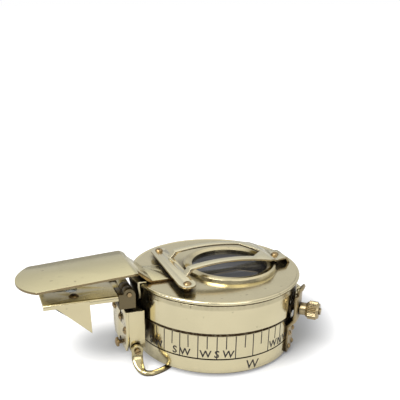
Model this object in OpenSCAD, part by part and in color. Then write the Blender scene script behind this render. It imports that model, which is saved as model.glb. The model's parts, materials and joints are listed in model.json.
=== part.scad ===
// Prismatic compass: brass case with a turning glass ring, a hinged lid with a round window and a
// bowed sight frame, and a folding prism on a focus slide.
// +Z is up, the origin is the middle of the base's underside, the prism is on the -X side and the
// lid's hinge on the +X side. The pieces are drawn with the lid closed and the prism folded out.

/* [Case] */
// Radius of the case wall
case_r = 33.5; // [32:0.5:36]
// Height of the case from its base to the top of the bead
case_h = 18.3; // [17.5:0.1:19.5]
// Thickness of the case wall
case_wall = 2; // [1.6:0.1:2.4]
// Thickness of the base
base_t = 2.2; // [1.8:0.1:2.8]
// Height of the engraved line round the case
band_z = 6.6; // [5:0.2:8]
// Radius of the bead's section
bead_r = 0.75; // [0.5:0.05:0.9]
// Radius of the flat turned disc in the middle of the base
base_disc_r = 13.5; // [10:0.5:14]
// Depth of the turned grooves
groove_d = 0.35; // [0.2:0.05:0.5]
// Thickness of the collar that the glass ring turns on
collar_t = 1.4; // [1.2:0.1:1.8]

/* [Glass ring] */
// How far the milled edge stands inside the case wall
ring_step = 0.6; // [0.5:0.05:0.9]
// Height of the milled edge
mill_h = 6; // [5.4:0.1:6.4]
// Height of the bevelled lip above the milled edge
lip_h = 2.8; // [2.4:0.1:3]
// Width of the bevel, seen from above
lip_w = 2.2; // [1.6:0.1:2.4]
// Number of teeth in the milled edge
mill_teeth = 90; // [60:1:110]
// Depth of the milling
mill_d = 0.35; // [0.2:0.05:0.45]
// Thickness of the glass
glass_t = 1.4; // [1:0.1:1.6]

/* [Card] */
// Width of the fixed trim between the collar and the card
trim_w = 2.9; // [2.6:0.1:5]
// Thickness of the card
card_t = 0.4; // [0.3:0.05:0.6]
// Gap between the card and the underside of the glass
card_gap = 4; // [3.8:0.1:4.6]
// Radius of the domed cap over the pivot
cap_r = 4.2; // [3.4:0.1:5]
// Height of the domed cap
cap_h = 2.9; // [2.6:0.1:3.2]
// Length of each magnet
magnet_l = 30; // [20:1:32]

/* [Lid] */
// Gap between the case wall's radius and the inside of the skirt
lid_clear = 0.2; // [0.1:0.05:0.5]
// Thickness of the lid's skirt
lid_wall = 1.05; // [0.9:0.05:1.2]
// Gap between the bead and the bottom of the skirt
lid_gap = 0.4; // [0.3:0.05:0.6]
// Height of the lid from the bottom of its skirt to its top face
lid_h = 13.5; // [13:0.1:14.5]
// Thickness of the lid's top
lid_top_t = 1; // [0.8:0.1:1.2]
// Radius of the rolled rim's section
rim_r = 0.8; // [0.6:0.05:0.9]
// Half angle of the arched notch in the skirt
notch_half = 15; // [12:0.5:17]
// Height of the arched notch
notch_h = 8.3; // [7.5:0.1:9]

/* [Window] */
// Distance of the window's centre from the case axis
window_x = 6.5; // [5:0.25:8]
// Width of the lid left between its edge and the window's ring
window_edge = 8.25; // [8:0.25:9]
// Width of the window's ring
window_ring_w = 4; // [3.5:0.25:5]
// How far the window's ring stands above the lid
window_ring_h = 2.1; // [1.6:0.1:2.4]
// Radius of the sighting line
hair_r = 0.15; // [0.12:0.01:0.25]

/* [Sight frame] */
// Distance of the crossbar from the lid's edge
cross_edge = 15.75; // [15:0.25:16.75]
// Width of the crossbar
cross_w = 7; // [6:0.25:7.5]
// Distance of each post from the centre line
post_y = 19; // [17:0.25:20]
// Height of the crossbar's top above the lid
frame_rise = 2.9; // [2.9:0.1:3.6]
// How far the bow stands above the crossbar
bow_rise = 4.4; // [3.6:0.1:5]
// Radius of the bow, seen from the side
bow_curve = 86; // [75:1:110]
// Thickness of the frame
frame_t = 0.8; // [0.6:0.05:0.8]
// Half width of the bow outside its two straps
strap_out_y = 11.8; // [11:0.1:12.6]
// Width of each strap
strap_w = 3.6; // [3:0.1:4.2]
// Distance of the tab's screw from the lid's edge
tab_edge = 6.95; // [6.5:0.05:7.5]
// Half width of the tab's end
tab_half = 4.4; // [3.4:0.1:5]

/* [Thumb paddle] */
// Length of the paddle from the lid's rim to its round end
paddle_l = 45.3; // [38:0.5:48]
// Half width of the paddle
paddle_half = 13.3; // [11:0.1:14]
// Radius of the paddle's round end
paddle_end_r = 17; // [14.5:0.25:22]
// Height of the paddle's root above the lid
paddle_rise = 7; // [6.8:0.1:8]
// Droop of the paddle in degrees
paddle_droop = 4.5; // [3:0.25:5]
// Thickness of the paddle
paddle_t = 1; // [0.8:0.05:1.2]
// Half width of the paddle's foot and neck
foot_half = 8; // [6:0.25:9]
// Half width of the catch at its top
catch_half = 8; // [6:0.25:8.5]
// Thickness of the catch
catch_t = 1.1; // [0.8:0.05:1.2]
// Height of the catch's point above the bottom of the skirt
catch_up = 1.8; // [1.4:0.1:3]

/* [Lid hinge] */
// Distance of the hinge axis outside the case wall
hinge_out = 3.9; // [3.8:0.05:4.4]
// Height of the hinge axis above the bottom of the skirt
hinge_up = 0.8; // [0.5:0.05:1]
// Radius of the hinge's knuckles
hinge_r = 1.9; // [1.7:0.05:2]
// Radius of the hinge pin
hinge_pin_r = 0.9; // [0.7:0.05:1]
// Half length of the hinge
hinge_half = 7; // [6:0.25:9]

/* [Prism bracket] */
// Depth of the bracket block outside the case wall
block_depth = 7.2; // [7:0.1:8]
// Half width of the bracket block
block_half = 11.8; // [11:0.1:12.4]
// Thickness of the bracket block
block_t = 6.5; // [6.2:0.1:6.8]
// Half width of the block's neck
block_neck = 7.6; // [7:0.1:9]
// Height of the block's underside
block_z0 = 11.4; // [10.8:0.1:12]
// Height of the block's top above the case
block_over = 4.1; // [3.6:0.1:4.4]
// Half width of the slide
slide_half = 6.9; // [6:0.1:7]
// Thickness of the slide
slide_t = 1.4; // [1.2:0.1:1.5]
// Thickness of the guide plate
guide_t = 1; // [0.8:0.05:1.2]
// Height of the guide plate's lower edge
guide_z0 = 4; // [3.4:0.1:4.4]
// Height of the knuckle block
knuckle_h = 6.1; // [5.8:0.1:6.6]
// Gap between the bracket block and the knuckle block
focus_gap = 1.8; // [1.8:0.05:2.1]
// Travel of the focus slide downwards
focus_down = 1.5; // [1:0.1:1.5]
// Travel of the focus slide upwards
focus_up = 2.5; // [1.5:0.1:2.5]
// Height of the ring's pivot
pivot_z = 5.8; // [5.4:0.1:6.2]

/* [Prism arm] */
// Radius of the barrel
barrel_r = 2.3; // [2:0.05:2.4]
// Radius of the barrel's pin
barrel_pin_r = 0.9; // [0.7:0.05:1]
// Distance from the barrel's axis to the far end of the prism plate
arm_l = 32.8; // [30:0.2:34]
// Half width of the prism plate
arm_half = 12; // [11.5:0.1:12.4]
// Thickness of the prism plate
arm_t = 1.2; // [0.9:0.05:1.3]
// Distance from the barrel's axis to the prism's upright face
prism_in = 15.5; // [14.5:0.1:16]
// Height of the prism
prism_h = 10.2; // [9:0.1:10.6]
// Radius of the sight hole
eye_r = 2.5; // [2:0.1:3]
// Width of the sighting slot
slot_w = 1.6; // [1.2:0.1:2]

/* [Carrying ring] */
// Radius of the ring's wire
wire_r = 1.15; // [1:0.05:1.3]
// Radius of the ring's bow
bow_r = 21; // [21:0.25:22]
// Gap between the ring's wire and the base
wire_gap = 0.25; // [0.2:0.05:0.5]

/* [Controls] */
// Angle of the clamp round the case in degrees
clamp_angle = -40; // [-41:0.5:-39]
// Half width of the clamp strap
clamp_half = 4.5; // [3.8:0.1:4.7]
// Thickness of the clamp strap
clamp_t = 1.2; // [0.9:0.05:1.3]
// Height of the clamp screw above the case
clamp_up = 1.7; // [1.6:0.1:2]
// Radius of the clamp screw's milled head
clamp_head_r = 3.8; // [3.4:0.1:4.4]
// Length of the clamp screw's milled head
clamp_head_l = 5.2; // [4.5:0.1:6.4]
// Radius of the brake pin
brake_r = 0.9; // [0.7:0.05:1]
// Height of the brake pin
brake_z = 4.3; // [4:0.1:4.6]
// Sideways place of the brake pin
brake_y = -1; // [-1.5:0.1:0]
// Gap between the brake pin's head and the guide plate
brake_out = 1.1; // [1:0.1:2]

/* [Hidden] */
$fn = 96;
// Small overlap used where a cut passes through a face
eps = 0.5;
// Length of the cuts and blanks that pass right through
far = 60;
// Radial clearance of a pin that turns or slides in its bore
run = 0.05;
// Gap between pieces that move past each other
gap = 0.3;

// Case and glass ring
collar_r = case_r - ring_step - 1.6;
collar_in = collar_r - collar_t;
ring_r = case_r - ring_step;
ring_z0 = case_h + gap;
lip_z0 = ring_z0 + mill_h;
ring_top = lip_z0 + lip_h;
flange_t = 0.8;
flange_z0 = lip_z0 - 0.3;
collar_top = flange_z0 - gap;
glass_z0 = flange_z0 + flange_t;
glass_r = collar_r - 2.4;
keeper_z0 = ring_z0 + 2;
keeper_h = 0.8;
keeper_out = 0.5;

// Card
card_r = collar_in - trim_w;
card_z1 = glass_z0 - card_gap;
card_z0 = card_z1 - card_t;
cap_z1 = card_z1 + cap_h;
jewel_r = 1.3;
jewel_h = 1.4;
jewel_z0 = cap_z1 - 0.7 - jewel_h;
needle_tip = jewel_z0 + 0.8;
needle_r = 0.6;
hub_bore = 2.2;
post_r = 1.8;
post_top = card_z0 - 5;
magnet_r = 0.8;
magnet_x = 6;

// Lid
skirt_in = case_r + lid_clear;
lid_r = skirt_in + lid_wall;
skirt_z0 = case_h + lid_gap;
lid_top = skirt_z0 + lid_h;
rim_z = lid_top - 0.6;
rim_out = lid_r + rim_r;
window_ring_r = lid_r - window_edge - window_x;
window_r = window_ring_r - window_ring_w;
glass_seat_r = window_r + 1.4;
window_glass_t = 1;

// Sight frame
frame_top = lid_top + frame_rise;
cross_x = lid_r - cross_edge;
tab_screw_x = lid_r - tab_edge;
tab_x1 = tab_screw_x + 4.2;
bow_x0 = -cross_x + cross_w / 2;
bow_x1 = tab_screw_x - 5;
bow_mid = (bow_x0 + bow_x1) / 2 - 1.5;
lobe_r = cross_w / 2 - 0.1;
spacer_r = 1.4;
screw_r = 0.9;
head_r = 1.7;
head_h = 1;

// Thumb paddle
paddle_x0 = -(rim_out + 0.5);
paddle_x1 = paddle_x0 - paddle_l;
paddle_z = lid_top + paddle_rise;
foot_x0 = -(rim_out - 5.2);
foot_x1 = -(cross_x - 2);
rivet_x = -(cross_x + 1);
rivet_y = 5;

// Lid hinge
hinge_x = case_r + hinge_out;
hinge_z = skirt_z0 + hinge_up;
hinge_mid = 3;
leaf_t = 1.3;
leaf_h = 7;

// Prism bracket, measured outwards from the case axis
block_x = case_r + block_depth;
block_z1 = case_h + block_over;
catch_r = lid_r + 0.1;
channel_in = block_x - slide_t - 2 * run;
ear_half = block_half;
ear_t = 1.9;
pivot_x = case_r + 4.5;
pivot_r = 1;
ear_ring_r = 2.4;
knuckle_z0 = block_z1 + focus_gap;
knuckle_z1 = knuckle_z0 + knuckle_h;
knuckle_x0 = case_r + 10.8;
knuckle_x1 = case_r + 4.2;
barrel_x = case_r + 6.7;
barrel_z = knuckle_z1 - 0.2;
stud_y = -2;
stud_r = 1;
stud_z = block_z1 - 5.9;
guide_screw_y = 8.9;

// Prism arm
arm_x0 = barrel_x + barrel_r + 2;
arm_x1 = barrel_x + arm_l;
arm_top = barrel_z - 0.1;
arm_z0 = arm_top - arm_t;
flange_r = 1.2;
tongue_half = 3.3;
knuckle_gap = 0.4;
prism_x0 = barrel_x + prism_in;
prism_x1 = prism_x0 + prism_h + 2.6;
lens_t = 1.3;
prism_top = arm_z0 - lens_t - 0.1;
cheek_in = arm_half - 1;
eye_x = barrel_x + 20.5;
arm_screw_y = 6.5;

// Carrying ring
wire_z = -(wire_r + wire_gap);
eye_in = ear_half + 0.4;
eye_t = 1.6;
eye_out = eye_in + eye_t;
eye_ring_r = 2.4;

// Controls
strap_out = lid_r + 1.45;
clamp_z = case_h + clamp_up;
clamp_shank_r = 1.2;
shoe_in = ring_r + 0.42;
shoe_out = shoe_in + 1.3;
shoe_half = 5.5;
curl_in = 2.5;
brake_bush_r = 1.7;
lever_x = case_r - case_wall - 4;
lever_z = 8;
lever_t = 2;

// A tube standing on z = 0
module tube(r_out, r_in, h) {
    difference() {
        cylinder(r = r_out, h = h);
        translate([0, 0, -eps]) cylinder(r = r_in, h = h + 2 * eps);
    }
}

// A cylinder along +Y from the place given
module along_y(x, y, z, r, l) {
    translate([x, y, z]) rotate([-90, 0, 0]) cylinder(r = r, h = l, $fn = 48);
}

// A cylinder along -X from the place given
module along_x(x, y, z, r, l) {
    translate([x, y, z]) rotate([0, -90, 0]) cylinder(r = r, h = l, $fn = 48);
}

// A side outline in X and Z, drawn from y0 for a length l along +Y
module side(y0, l) {
    translate([0, y0 + l, 0]) rotate([90, 0, 0]) linear_extrude(l) children();
}

// A flat bar in plan from one point to another
module bar(a, b, w) {
    d = b - a;
    translate(a) rotate(atan2(d[1], d[0])) translate([0, -w / 2]) square([norm(d), w]);
}

// A round wire between two points with round ends
module wire(a, b, r) {
    d = b - a;
    translate(a) rotate([0, acos(d[2] / norm(d)), atan2(d[1], d[0])]) cylinder(r = r, h = norm(d), $fn = 48);
    translate(a) sphere(r = r, $fn = 48);
    translate(b) sphere(r = r, $fn = 48);
}

// Round head with a flat underside on z = 0
module round_head(r, h) {
    big = (r * r + h * h) / (2 * h);
    intersection() {
        translate([0, 0, h - big]) sphere(r = big, $fn = 64);
        cylinder(r = r, h = h + eps, $fn = 48);
    }
}

module case_body() {
    color([0.78, 0.70, 0.50])
    difference() {
        union() {
            rotate_extrude() polygon([
                [0, 0], [case_r - 0.6, 0], [case_r, 0.6], [case_r, case_h - bead_r], [case_r, case_h],
                [collar_r, case_h], [collar_r, collar_top], [collar_in, collar_top],
                [collar_in, case_h - 3], [case_r - case_wall, case_h - 3.6],
                [case_r - case_wall, base_t], [0, base_t]
            ]);
            rotate_extrude() translate([case_r - 0.05, case_h - bead_r]) circle(r = bead_r, $fn = 48);
            cylinder(r = 4.5, h = base_t + 1.4);
        }
        // Engraved line round the wall
        translate([0, 0, band_z]) tube(case_r + eps, case_r - groove_d, groove_d);
        // Groove round the middle of the base
        translate([0, 0, -eps]) tube(base_disc_r + 0.6, base_disc_r, groove_d + eps);
        // Seat of the keeper ring in the collar
        translate([0, 0, keeper_z0]) tube(collar_r + eps, collar_r - 0.6, keeper_h);
        // Threaded seat of the pivot post
        translate([0, 0, base_t - 1]) cylinder(r = post_r, h = 4);
        // Bore of the brake bush
        along_x(-(case_r - case_wall - 2), brake_y, brake_z, brake_bush_r, case_wall + 4);
        // Holes of the strap screws
        strap_screw_places() cylinder(r = 0.7, h = 6, center = true, $fn = 32);
    }
}

module pivot_post() {
    color([0.80, 0.68, 0.40])
    difference() {
        union() {
            translate([0, 0, base_t - 1]) cylinder(r = post_r, h = post_top - base_t + 1);
            translate([0, 0, base_t + 1.4]) cylinder(r = 3, h = 1.6);
        }
        translate([0, 0, post_top - 4]) cylinder(r = needle_r, h = 6, $fn = 32);
    }
}

module pivot_needle() {
    color("silver") {
        translate([0, 0, post_top - 4])
            cylinder(r = needle_r, h = needle_tip - 2 - post_top + 4, $fn = 32);
        translate([0, 0, needle_tip - 2]) cylinder(r1 = needle_r, r2 = 0.08, h = 2, $fn = 32);
    }
}

module bezel_keeper() {
    color([0.72, 0.62, 0.40])
    rotate(4) rotate_extrude(angle = 352)
        translate([collar_r - 0.6, keeper_z0]) square([0.6 + keeper_out, keeper_h]);
}

module dial_trim() {
    color([0.80, 0.70, 0.45])
    rotate_extrude() polygon([
        [collar_in, card_z0 - 0.6], [collar_in, card_z1 + 2], [collar_in - 0.8, card_z1 + 2],
        [card_r + 0.6, card_z1 + 0.4], [card_r + 0.6, card_z0 - 0.6]
    ]);
}

module bezel_ring() {
    color([0.78, 0.68, 0.46])
    difference() {
        union() {
            rotate_extrude() polygon([
                [collar_r + run, ring_z0], [ring_r - mill_d, ring_z0], [ring_r - mill_d, lip_z0],
                [ring_r - mill_d, lip_z0 + 0.5], [ring_r - lip_w, ring_top], [glass_r, ring_top],
                [glass_r, glass_z0], [glass_r - 1.2, glass_z0], [glass_r - 1.2, flange_z0],
                [collar_r + run, flange_z0]
            ]);
            translate([0, 0, ring_z0 + 0.3]) linear_extrude(mill_h - 0.3) difference() {
                polygon([
                    for (i = [0 : 2 * mill_teeth - 1])
                    let (a = i * 180 / mill_teeth, r = ring_r - (i % 2) * mill_d * 0.8)
                    [r * cos(a), r * sin(a)]
                ]);
                circle(r = ring_r - 1.2);
            }
        }
        // Groove that the keeper ring stands in
        translate([0, 0, keeper_z0 - run]) cylinder(r = collar_r + keeper_out + 2 * run, h = keeper_h + 2 * run);
    }
}

module bezel_glass() {
    color([0.75, 0.85, 0.85, 0.35])
    translate([0, 0, glass_z0]) cylinder(r = glass_r, h = glass_t);
}

module glass_keeper() {
    color([0.80, 0.70, 0.45])
    rotate_extrude() polygon([
        [glass_r, glass_z0 + glass_t], [glass_r, ring_top - 0.3], [glass_r - 0.7, ring_top - 0.3],
        [glass_r - 1.6, glass_z0 + glass_t]
    ]);
}

module compass_card() {
    color([0.88, 0.87, 0.82])
    translate([0, 0, card_z0]) tube(card_r, hub_bore, card_t);
}

module card_cap() {
    color([0.80, 0.66, 0.34])
    difference() {
        translate([0, 0, card_z1]) union() {
            round_head(cap_r, cap_h);
            translate([0, 0, -card_t]) cylinder(r = hub_bore, h = card_t + 0.1);
        }
        translate([0, 0, card_z0 - eps]) cylinder(r = jewel_r, h = jewel_z0 + jewel_h - card_z0 + eps, $fn = 48);
    }
}

module card_jewel() {
    color([0.75, 0.25, 0.30])
    translate([0, 0, jewel_z0]) difference() {
        cylinder(r = jewel_r, h = jewel_h, $fn = 48);
        translate([0, 0, -0.01]) cylinder(r1 = 1, r2 = 0.12, h = 1, $fn = 48);
    }
}

module card_magnets() {
    color([0.45, 0.45, 0.48])
    for (s = [-1, 1])
        translate([s * magnet_x - magnet_r, -magnet_l / 2, card_z0 - 2 * magnet_r])
            cube([2 * magnet_r, magnet_l, 2 * magnet_r]);
}

// Outline of the bracket in plan, cut to the round case below and to the lid's catch above
module bracket_cut() {
    translate([0, 0, -eps]) cylinder(r = case_r, h = case_h + 10);
    translate([0, 0, case_h - 2 * bead_r - gap]) cylinder(r = catch_r + catch_t + gap, h = 20);
}

module prism_bracket() {
    color([0.80, 0.74, 0.56])
    difference() {
        union() {
            translate([-block_x, -block_half, block_z0])
                cube([block_t, 2 * block_half, block_z1 - block_z0]);
            translate([-block_x + 1, -block_neck, block_z0])
                cube([block_x - case_r + 2, 2 * block_neck, case_h - block_z0]);
            for (s = [-1, 1]) translate([0, s * ear_half - (s + 1) * ear_t / 2, 0]) {
                translate([-block_x + 0.2, 0, pivot_z]) cube([block_t - 0.2, ear_t, block_z0 - pivot_z + 1]);
                along_y(-pivot_x, 0, pivot_z, ear_ring_r, ear_t);
            }
        }
        bracket_cut();
        // Channel of the focus slide
        translate([-block_x - eps, -slide_half - run, block_z0 - eps])
            cube([block_x - channel_in + eps, 2 * (slide_half + run), 20]);
        // Holes of the ring's pins
        along_y(-pivot_x, -far / 2, pivot_z, pivot_r, far);
        guide_screw_places() cylinder(r = screw_r, h = 8, center = true, $fn = 32);
    }
}

// Places of the two guide screws on the guide plate's outer face
module guide_screw_places() {
    for (p = [[guide_screw_y, stud_z + 0.3], [-guide_screw_y, stud_z - 3.2]])
        translate([-block_x - guide_t, p[0], p[1]]) rotate([0, -90, 0]) children();
}

module guide_plate() {
    corner = 2.4;
    color([0.82, 0.76, 0.58])
    difference() {
        translate([-block_x - guide_t, 0, 0]) rotate([90, 0, 90]) linear_extrude(guide_t) difference() {
            polygon([
                [-block_half, block_z1], [block_half, block_z1], [block_half, guide_z0 + 2 * corner],
                [block_half - corner, guide_z0], [corner - block_half, guide_z0],
                [-block_half, guide_z0 + 2 * corner]
            ]);
            // Arch over the brake pin
            translate([brake_y, brake_z]) circle(r = 2.5, $fn = 48);
            // Slot of the focus stud
            translate([stud_y, stud_z - focus_down]) circle(r = stud_r + 0.1, $fn = 32);
            translate([stud_y, stud_z + focus_up]) circle(r = stud_r + 0.1, $fn = 32);
            translate([stud_y - stud_r - 0.1, stud_z - focus_down])
                square([2 * stud_r + 0.2, focus_up + focus_down]);
        }
        guide_screw_places() cylinder(r = screw_r, h = 8, center = true, $fn = 32);
    }
}

module guide_screws() {
    color([0.76, 0.62, 0.36])
    guide_screw_places() {
        round_head(head_r, head_h);
        translate([0, 0, -3.4]) cylinder(r = screw_r, h = 3.5, $fn = 32);
    }
}

module ring_pins() {
    color([0.76, 0.66, 0.42])
    for (s = [-1, 1]) mirror([0, (1 - s) / 2, 0]) {
        along_y(-pivot_x, ear_half - ear_t - 0.3, pivot_z, pivot_r, ear_t + 0.3 + 0.4 + eye_t + 0.2);
        along_y(-pivot_x, eye_out + 0.1, pivot_z, pivot_r + 0.2, 0.9);
    }
}

module case_hinge_leaf() {
    leaf_z0 = 7;
    leaf_z1 = case_h - 2 * bead_r - gap;
    color([0.80, 0.70, 0.45])
    difference() {
        union() {
            translate([case_r - leaf_t, -hinge_half, leaf_z0])
                cube([2 * leaf_t, 2 * hinge_half, leaf_z1 - leaf_z0]);
            for (s = [-1, 1]) side(s > 0 ? hinge_mid + 0.15 : -hinge_half, hinge_half - hinge_mid - 0.15) {
                translate([hinge_x, hinge_z]) circle(r = hinge_r, $fn = 48);
                polygon([
                    [case_r + 0.4, leaf_z1 - 3.5], [case_r + leaf_t, leaf_z1 - 3.5],
                    [hinge_x + hinge_r, hinge_z], [hinge_x - hinge_r, hinge_z - 0.3],
                    [hinge_x - hinge_r, leaf_z1], [case_r + 0.4, leaf_z1]
                ]);
            }
        }
        translate([0, 0, -eps]) cylinder(r = case_r, h = case_h + 3);
        translate([0, 0, case_h - 2 * bead_r]) cylinder(r = case_r + bead_r + 0.1, h = 6);
        along_y(hinge_x, -far / 2, hinge_z, hinge_pin_r, far);
    }
}

module lid_hinge_pin() {
    color([0.70, 0.62, 0.42])
    along_y(hinge_x, -hinge_half - 0.5, hinge_z, hinge_pin_r, 2 * hinge_half + 1);
}

// Places of the strap screws: two low and two at the joggle's foot
module strap_screw_places() {
    for (z = [3, 9.2])
        for (a = [-1, 1])
            rotate([0, 0, clamp_angle + a * 4.4])
            translate([case_r + clamp_t, 0, z]) rotate([0, 90, 0]) children();
}

// The strap's section as radius and height: foot, joggle, upright and curled end
module strap_section() {
    joggle = case_h - 6;
    curl_r = strap_out + clamp_t + curl_in;
    curl_z = lip_z0 + 2.3;
    steps = 8;
    polygon(concat(
        [
            [case_r, 1], [case_r + clamp_t, 1], [case_r + clamp_t, joggle],
            [strap_out + clamp_t, joggle + 3.2]
        ],
        [for (i = [0 : steps]) let (a = i * 60 / steps) [curl_r - curl_in * cos(a), curl_z + curl_in * sin(a)]],
        [
            for (i = [steps : -1 : 0])
            let (a = i * 60 / steps, r = curl_in + clamp_t)
            [curl_r - r * cos(a), curl_z + r * sin(a)]
        ],
        [[strap_out, joggle + 3.7], [case_r, joggle + 0.5]]
    ));
}

module clamp_strap() {
    wide = asin(clamp_half / case_r);
    narrow = asin(2.6 / strap_out);
    color([0.78, 0.70, 0.48])
    difference() {
        rotate(clamp_angle - wide) rotate_extrude(angle = 2 * wide) strap_section();
        // The curled end is narrower than the foot
        for (s = [-1, 1])
            rotate(clamp_angle + s * (narrow + wide) - wide) rotate_extrude(angle = 2 * wide)
                translate([case_r, lip_z0 + 2]) square([12, 12]);
        rotate(clamp_angle) translate([strap_out - 2, 0, clamp_z]) rotate([0, 90, 0])
            cylinder(r = clamp_shank_r + run, h = 6, $fn = 48);
        strap_screw_places() cylinder(r = 0.7, h = 6, center = true, $fn = 32);
    }
}

module strap_screws() {
    color([0.45, 0.34, 0.24])
    strap_screw_places() {
        round_head(1.2, 0.8);
        translate([0, 0, -2.6]) cylinder(r = 0.7, h = 2.7, $fn = 32);
    }
}

module brake_bush() {
    inner_x = case_r - case_wall - 0.6;
    color([0.76, 0.66, 0.42])
    difference() {
        union() {
            along_x(-inner_x, brake_y, brake_z, brake_bush_r, case_wall + 1.8);
            difference() {
                along_x(-(case_r - 1), brake_y, brake_z, 2.4, 2.4);
                translate([0, 0, -eps]) cylinder(r = case_r, h = case_h);
            }
        }
        along_x(-20, brake_y, brake_z, brake_r + run, 20);
    }
}

module brake_frame() {
    half = lever_t / 2 + 0.4;
    color([0.72, 0.64, 0.44]) {
        translate([-lever_x - 2.4, brake_y - half - 1, base_t]) cube([4.8, 2 * half + 2, 0.9]);
        for (s = [-1, 1]) side(brake_y + s * (half + 0.5) - 0.5, 1) {
            translate([-lever_x, lever_z]) circle(r = 1.5, $fn = 32);
            translate([-lever_x - 1.5, base_t]) square([3, lever_z - base_t]);
        }
    }
    color([0.70, 0.70, 0.72])
    along_y(-lever_x, brake_y - half - 0.5, lever_z, 0.6, 2 * half + 1);
}

module lid_shell() {
    color([0.80, 0.75, 0.58])
    difference() {
        union() {
            rotate_extrude() polygon([
                [0, lid_top - lid_top_t], [skirt_in, lid_top - lid_top_t], [skirt_in, skirt_z0],
                [lid_r, skirt_z0], [lid_r, lid_top - 0.3], [lid_r - 0.3, lid_top], [0, lid_top]
            ]);
            rotate_extrude() translate([lid_r, rim_z]) circle(r = rim_r, $fn = 48);
        }
        // Inside of the lid, which trims the rim's section
        translate([0, 0, skirt_z0]) cylinder(r = skirt_in, h = lid_h - lid_top_t);
        // Window
        translate([window_x, 0, skirt_z0]) cylinder(r = glass_seat_r + 0.2, h = lid_h + eps);
        // Arched notch that clears the clamp
        rotate(clamp_angle) translate([skirt_in - 4, 0, skirt_z0]) rotate([90, 0, 90])
            linear_extrude(8) intersection() {
                circle(r = notch_h);
                translate([-lid_r * sin(notch_half), -eps]) square([2 * lid_r * sin(notch_half), 20]);
            }
        // Holes of the frame's screws, the paddle's rivets and the posts
        for (s = [-1, 1]) {
            translate([-cross_x, s * post_y, lid_top - 3]) cylinder(r = screw_r, h = 4, $fn = 32);
            translate([rivet_x, s * rivet_y, lid_top - 3]) cylinder(r = screw_r, h = 4, $fn = 32);
        }
        translate([tab_screw_x, 0, lid_top - 3]) cylinder(r = screw_r, h = 4, $fn = 32);
    }
}

module window_bezel() {
    z1 = lid_top + window_ring_h;
    color([0.72, 0.60, 0.38])
    translate([window_x, 0, 0]) rotate_extrude() polygon([
        [window_ring_r, lid_top], [window_ring_r - 0.4, z1 - 0.6], [window_ring_r - 1.2, z1],
        [glass_seat_r, z1], [window_r, z1 - 0.8], [window_r, lid_top + 0.2], [glass_seat_r, lid_top + 0.2],
        [glass_seat_r, lid_top]
    ]);
}

module window_glass() {
    color([0.35, 0.37, 0.40, 0.5])
    translate([window_x, 0, lid_top + 0.2 - window_glass_t]) cylinder(r = glass_seat_r, h = window_glass_t);
}

module hairline() {
    z = lid_top + 0.2 - window_glass_t - hair_r;
    color([0.15, 0.12, 0.10])
    along_x(window_x + glass_seat_r, 0, z, hair_r, 2 * glass_seat_r);
}

// The two straps and the tab seen from above
module strap_plan() {
    strap_in_y = strap_out_y - strap_w;
    ramp = 3;
    difference() {
        polygon([
            [bow_x0 - ramp, strap_out_y], [tab_screw_x - 7.3, strap_out_y - 0.8],
            [tab_screw_x - 3.8, tab_half + 3.9], [tab_screw_x - 0.8, tab_half + 1.2], [tab_x1, tab_half],
            [tab_x1 + 2, tab_half - 0.4], [tab_x1 + 2, 0.4 - tab_half], [tab_x1, -tab_half],
            [tab_screw_x - 0.8, -tab_half - 1.2], [tab_screw_x - 3.8, -tab_half - 3.9],
            [tab_screw_x - 7.3, 0.8 - strap_out_y], [bow_x0 - ramp, -strap_out_y]
        ]);
        // The gap narrows to a point at the tab
        polygon([
            [bow_x0 - ramp - eps, strap_in_y], [tab_screw_x - 13.8, strap_in_y - 0.5], [tab_screw_x - 7.3, 0],
            [tab_screw_x - 13.8, 0.5 - strap_in_y], [bow_x0 - ramp - eps, -strap_in_y]
        ]);
    }
}

// Height of the bow's top at a place along X
function bow_z(x) = frame_top + bow_rise - (x - bow_mid) * (x - bow_mid) / (2 * bow_curve);

// The sight frame seen from the side: flat crossbar, ramp, bow, curl, flat tab and its bent end
module frame_side() {
    steps = 24;
    under = frame_top - frame_t;
    function place(i) = bow_x0 + 0.4 + (bow_x1 - bow_x0 - 0.4) * i / steps;
    polygon(concat(
        [[bow_x0 - 2.8, under], [bow_x0 - 2.8, frame_top], [bow_x0 - 1.7, frame_top]],
        [for (i = [0 : steps]) [place(i), bow_z(place(i))]],
        [
            [bow_x1 + 1.6, frame_top + 0.9], [bow_x1 + 3.2, frame_top], [tab_x1 - frame_t, frame_top],
            [tab_x1 - 0.3, frame_top - 0.3], [tab_x1 + 1.1, lid_top], [tab_x1 + 0.1, lid_top],
            [tab_x1 - 1.3 * frame_t, under], [bow_x1 + 2.9, under], [bow_x1 + 1.2, frame_top + 0.1]
        ],
        [for (i = [steps : -1 : 1]) [place(i) - 0.2, bow_z(place(i)) - frame_t]],
        [[bow_x0 - 1, under]]
    ));
}

module sight_frame() {
    under = frame_top - frame_t;
    color([0.86, 0.80, 0.62])
    difference() {
        union() {
            translate([-cross_x - cross_w / 2, -post_y, under]) cube([cross_w, 2 * post_y, frame_t]);
            for (s = [-1, 1])
                translate([-cross_x, s * post_y, under]) cylinder(r = lobe_r, h = frame_t, $fn = 64);
            intersection() {
                translate([0, 0, lid_top]) linear_extrude(frame_rise + bow_rise + 2) strap_plan();
                side(-post_y - 6, 2 * post_y + 12) frame_side();
            }
        }
        for (s = [-1, 1])
            translate([-cross_x, s * post_y, lid_top]) cylinder(r = screw_r, h = 20, $fn = 32);
        translate([tab_screw_x, 0, lid_top]) cylinder(r = screw_r, h = 20, $fn = 32);
    }
}

module frame_posts() {
    color([0.72, 0.62, 0.40])
    for (s = [-1, 1]) translate([-cross_x, s * post_y, lid_top]) tube(spacer_r, screw_r, frame_rise - frame_t);
}

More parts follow.
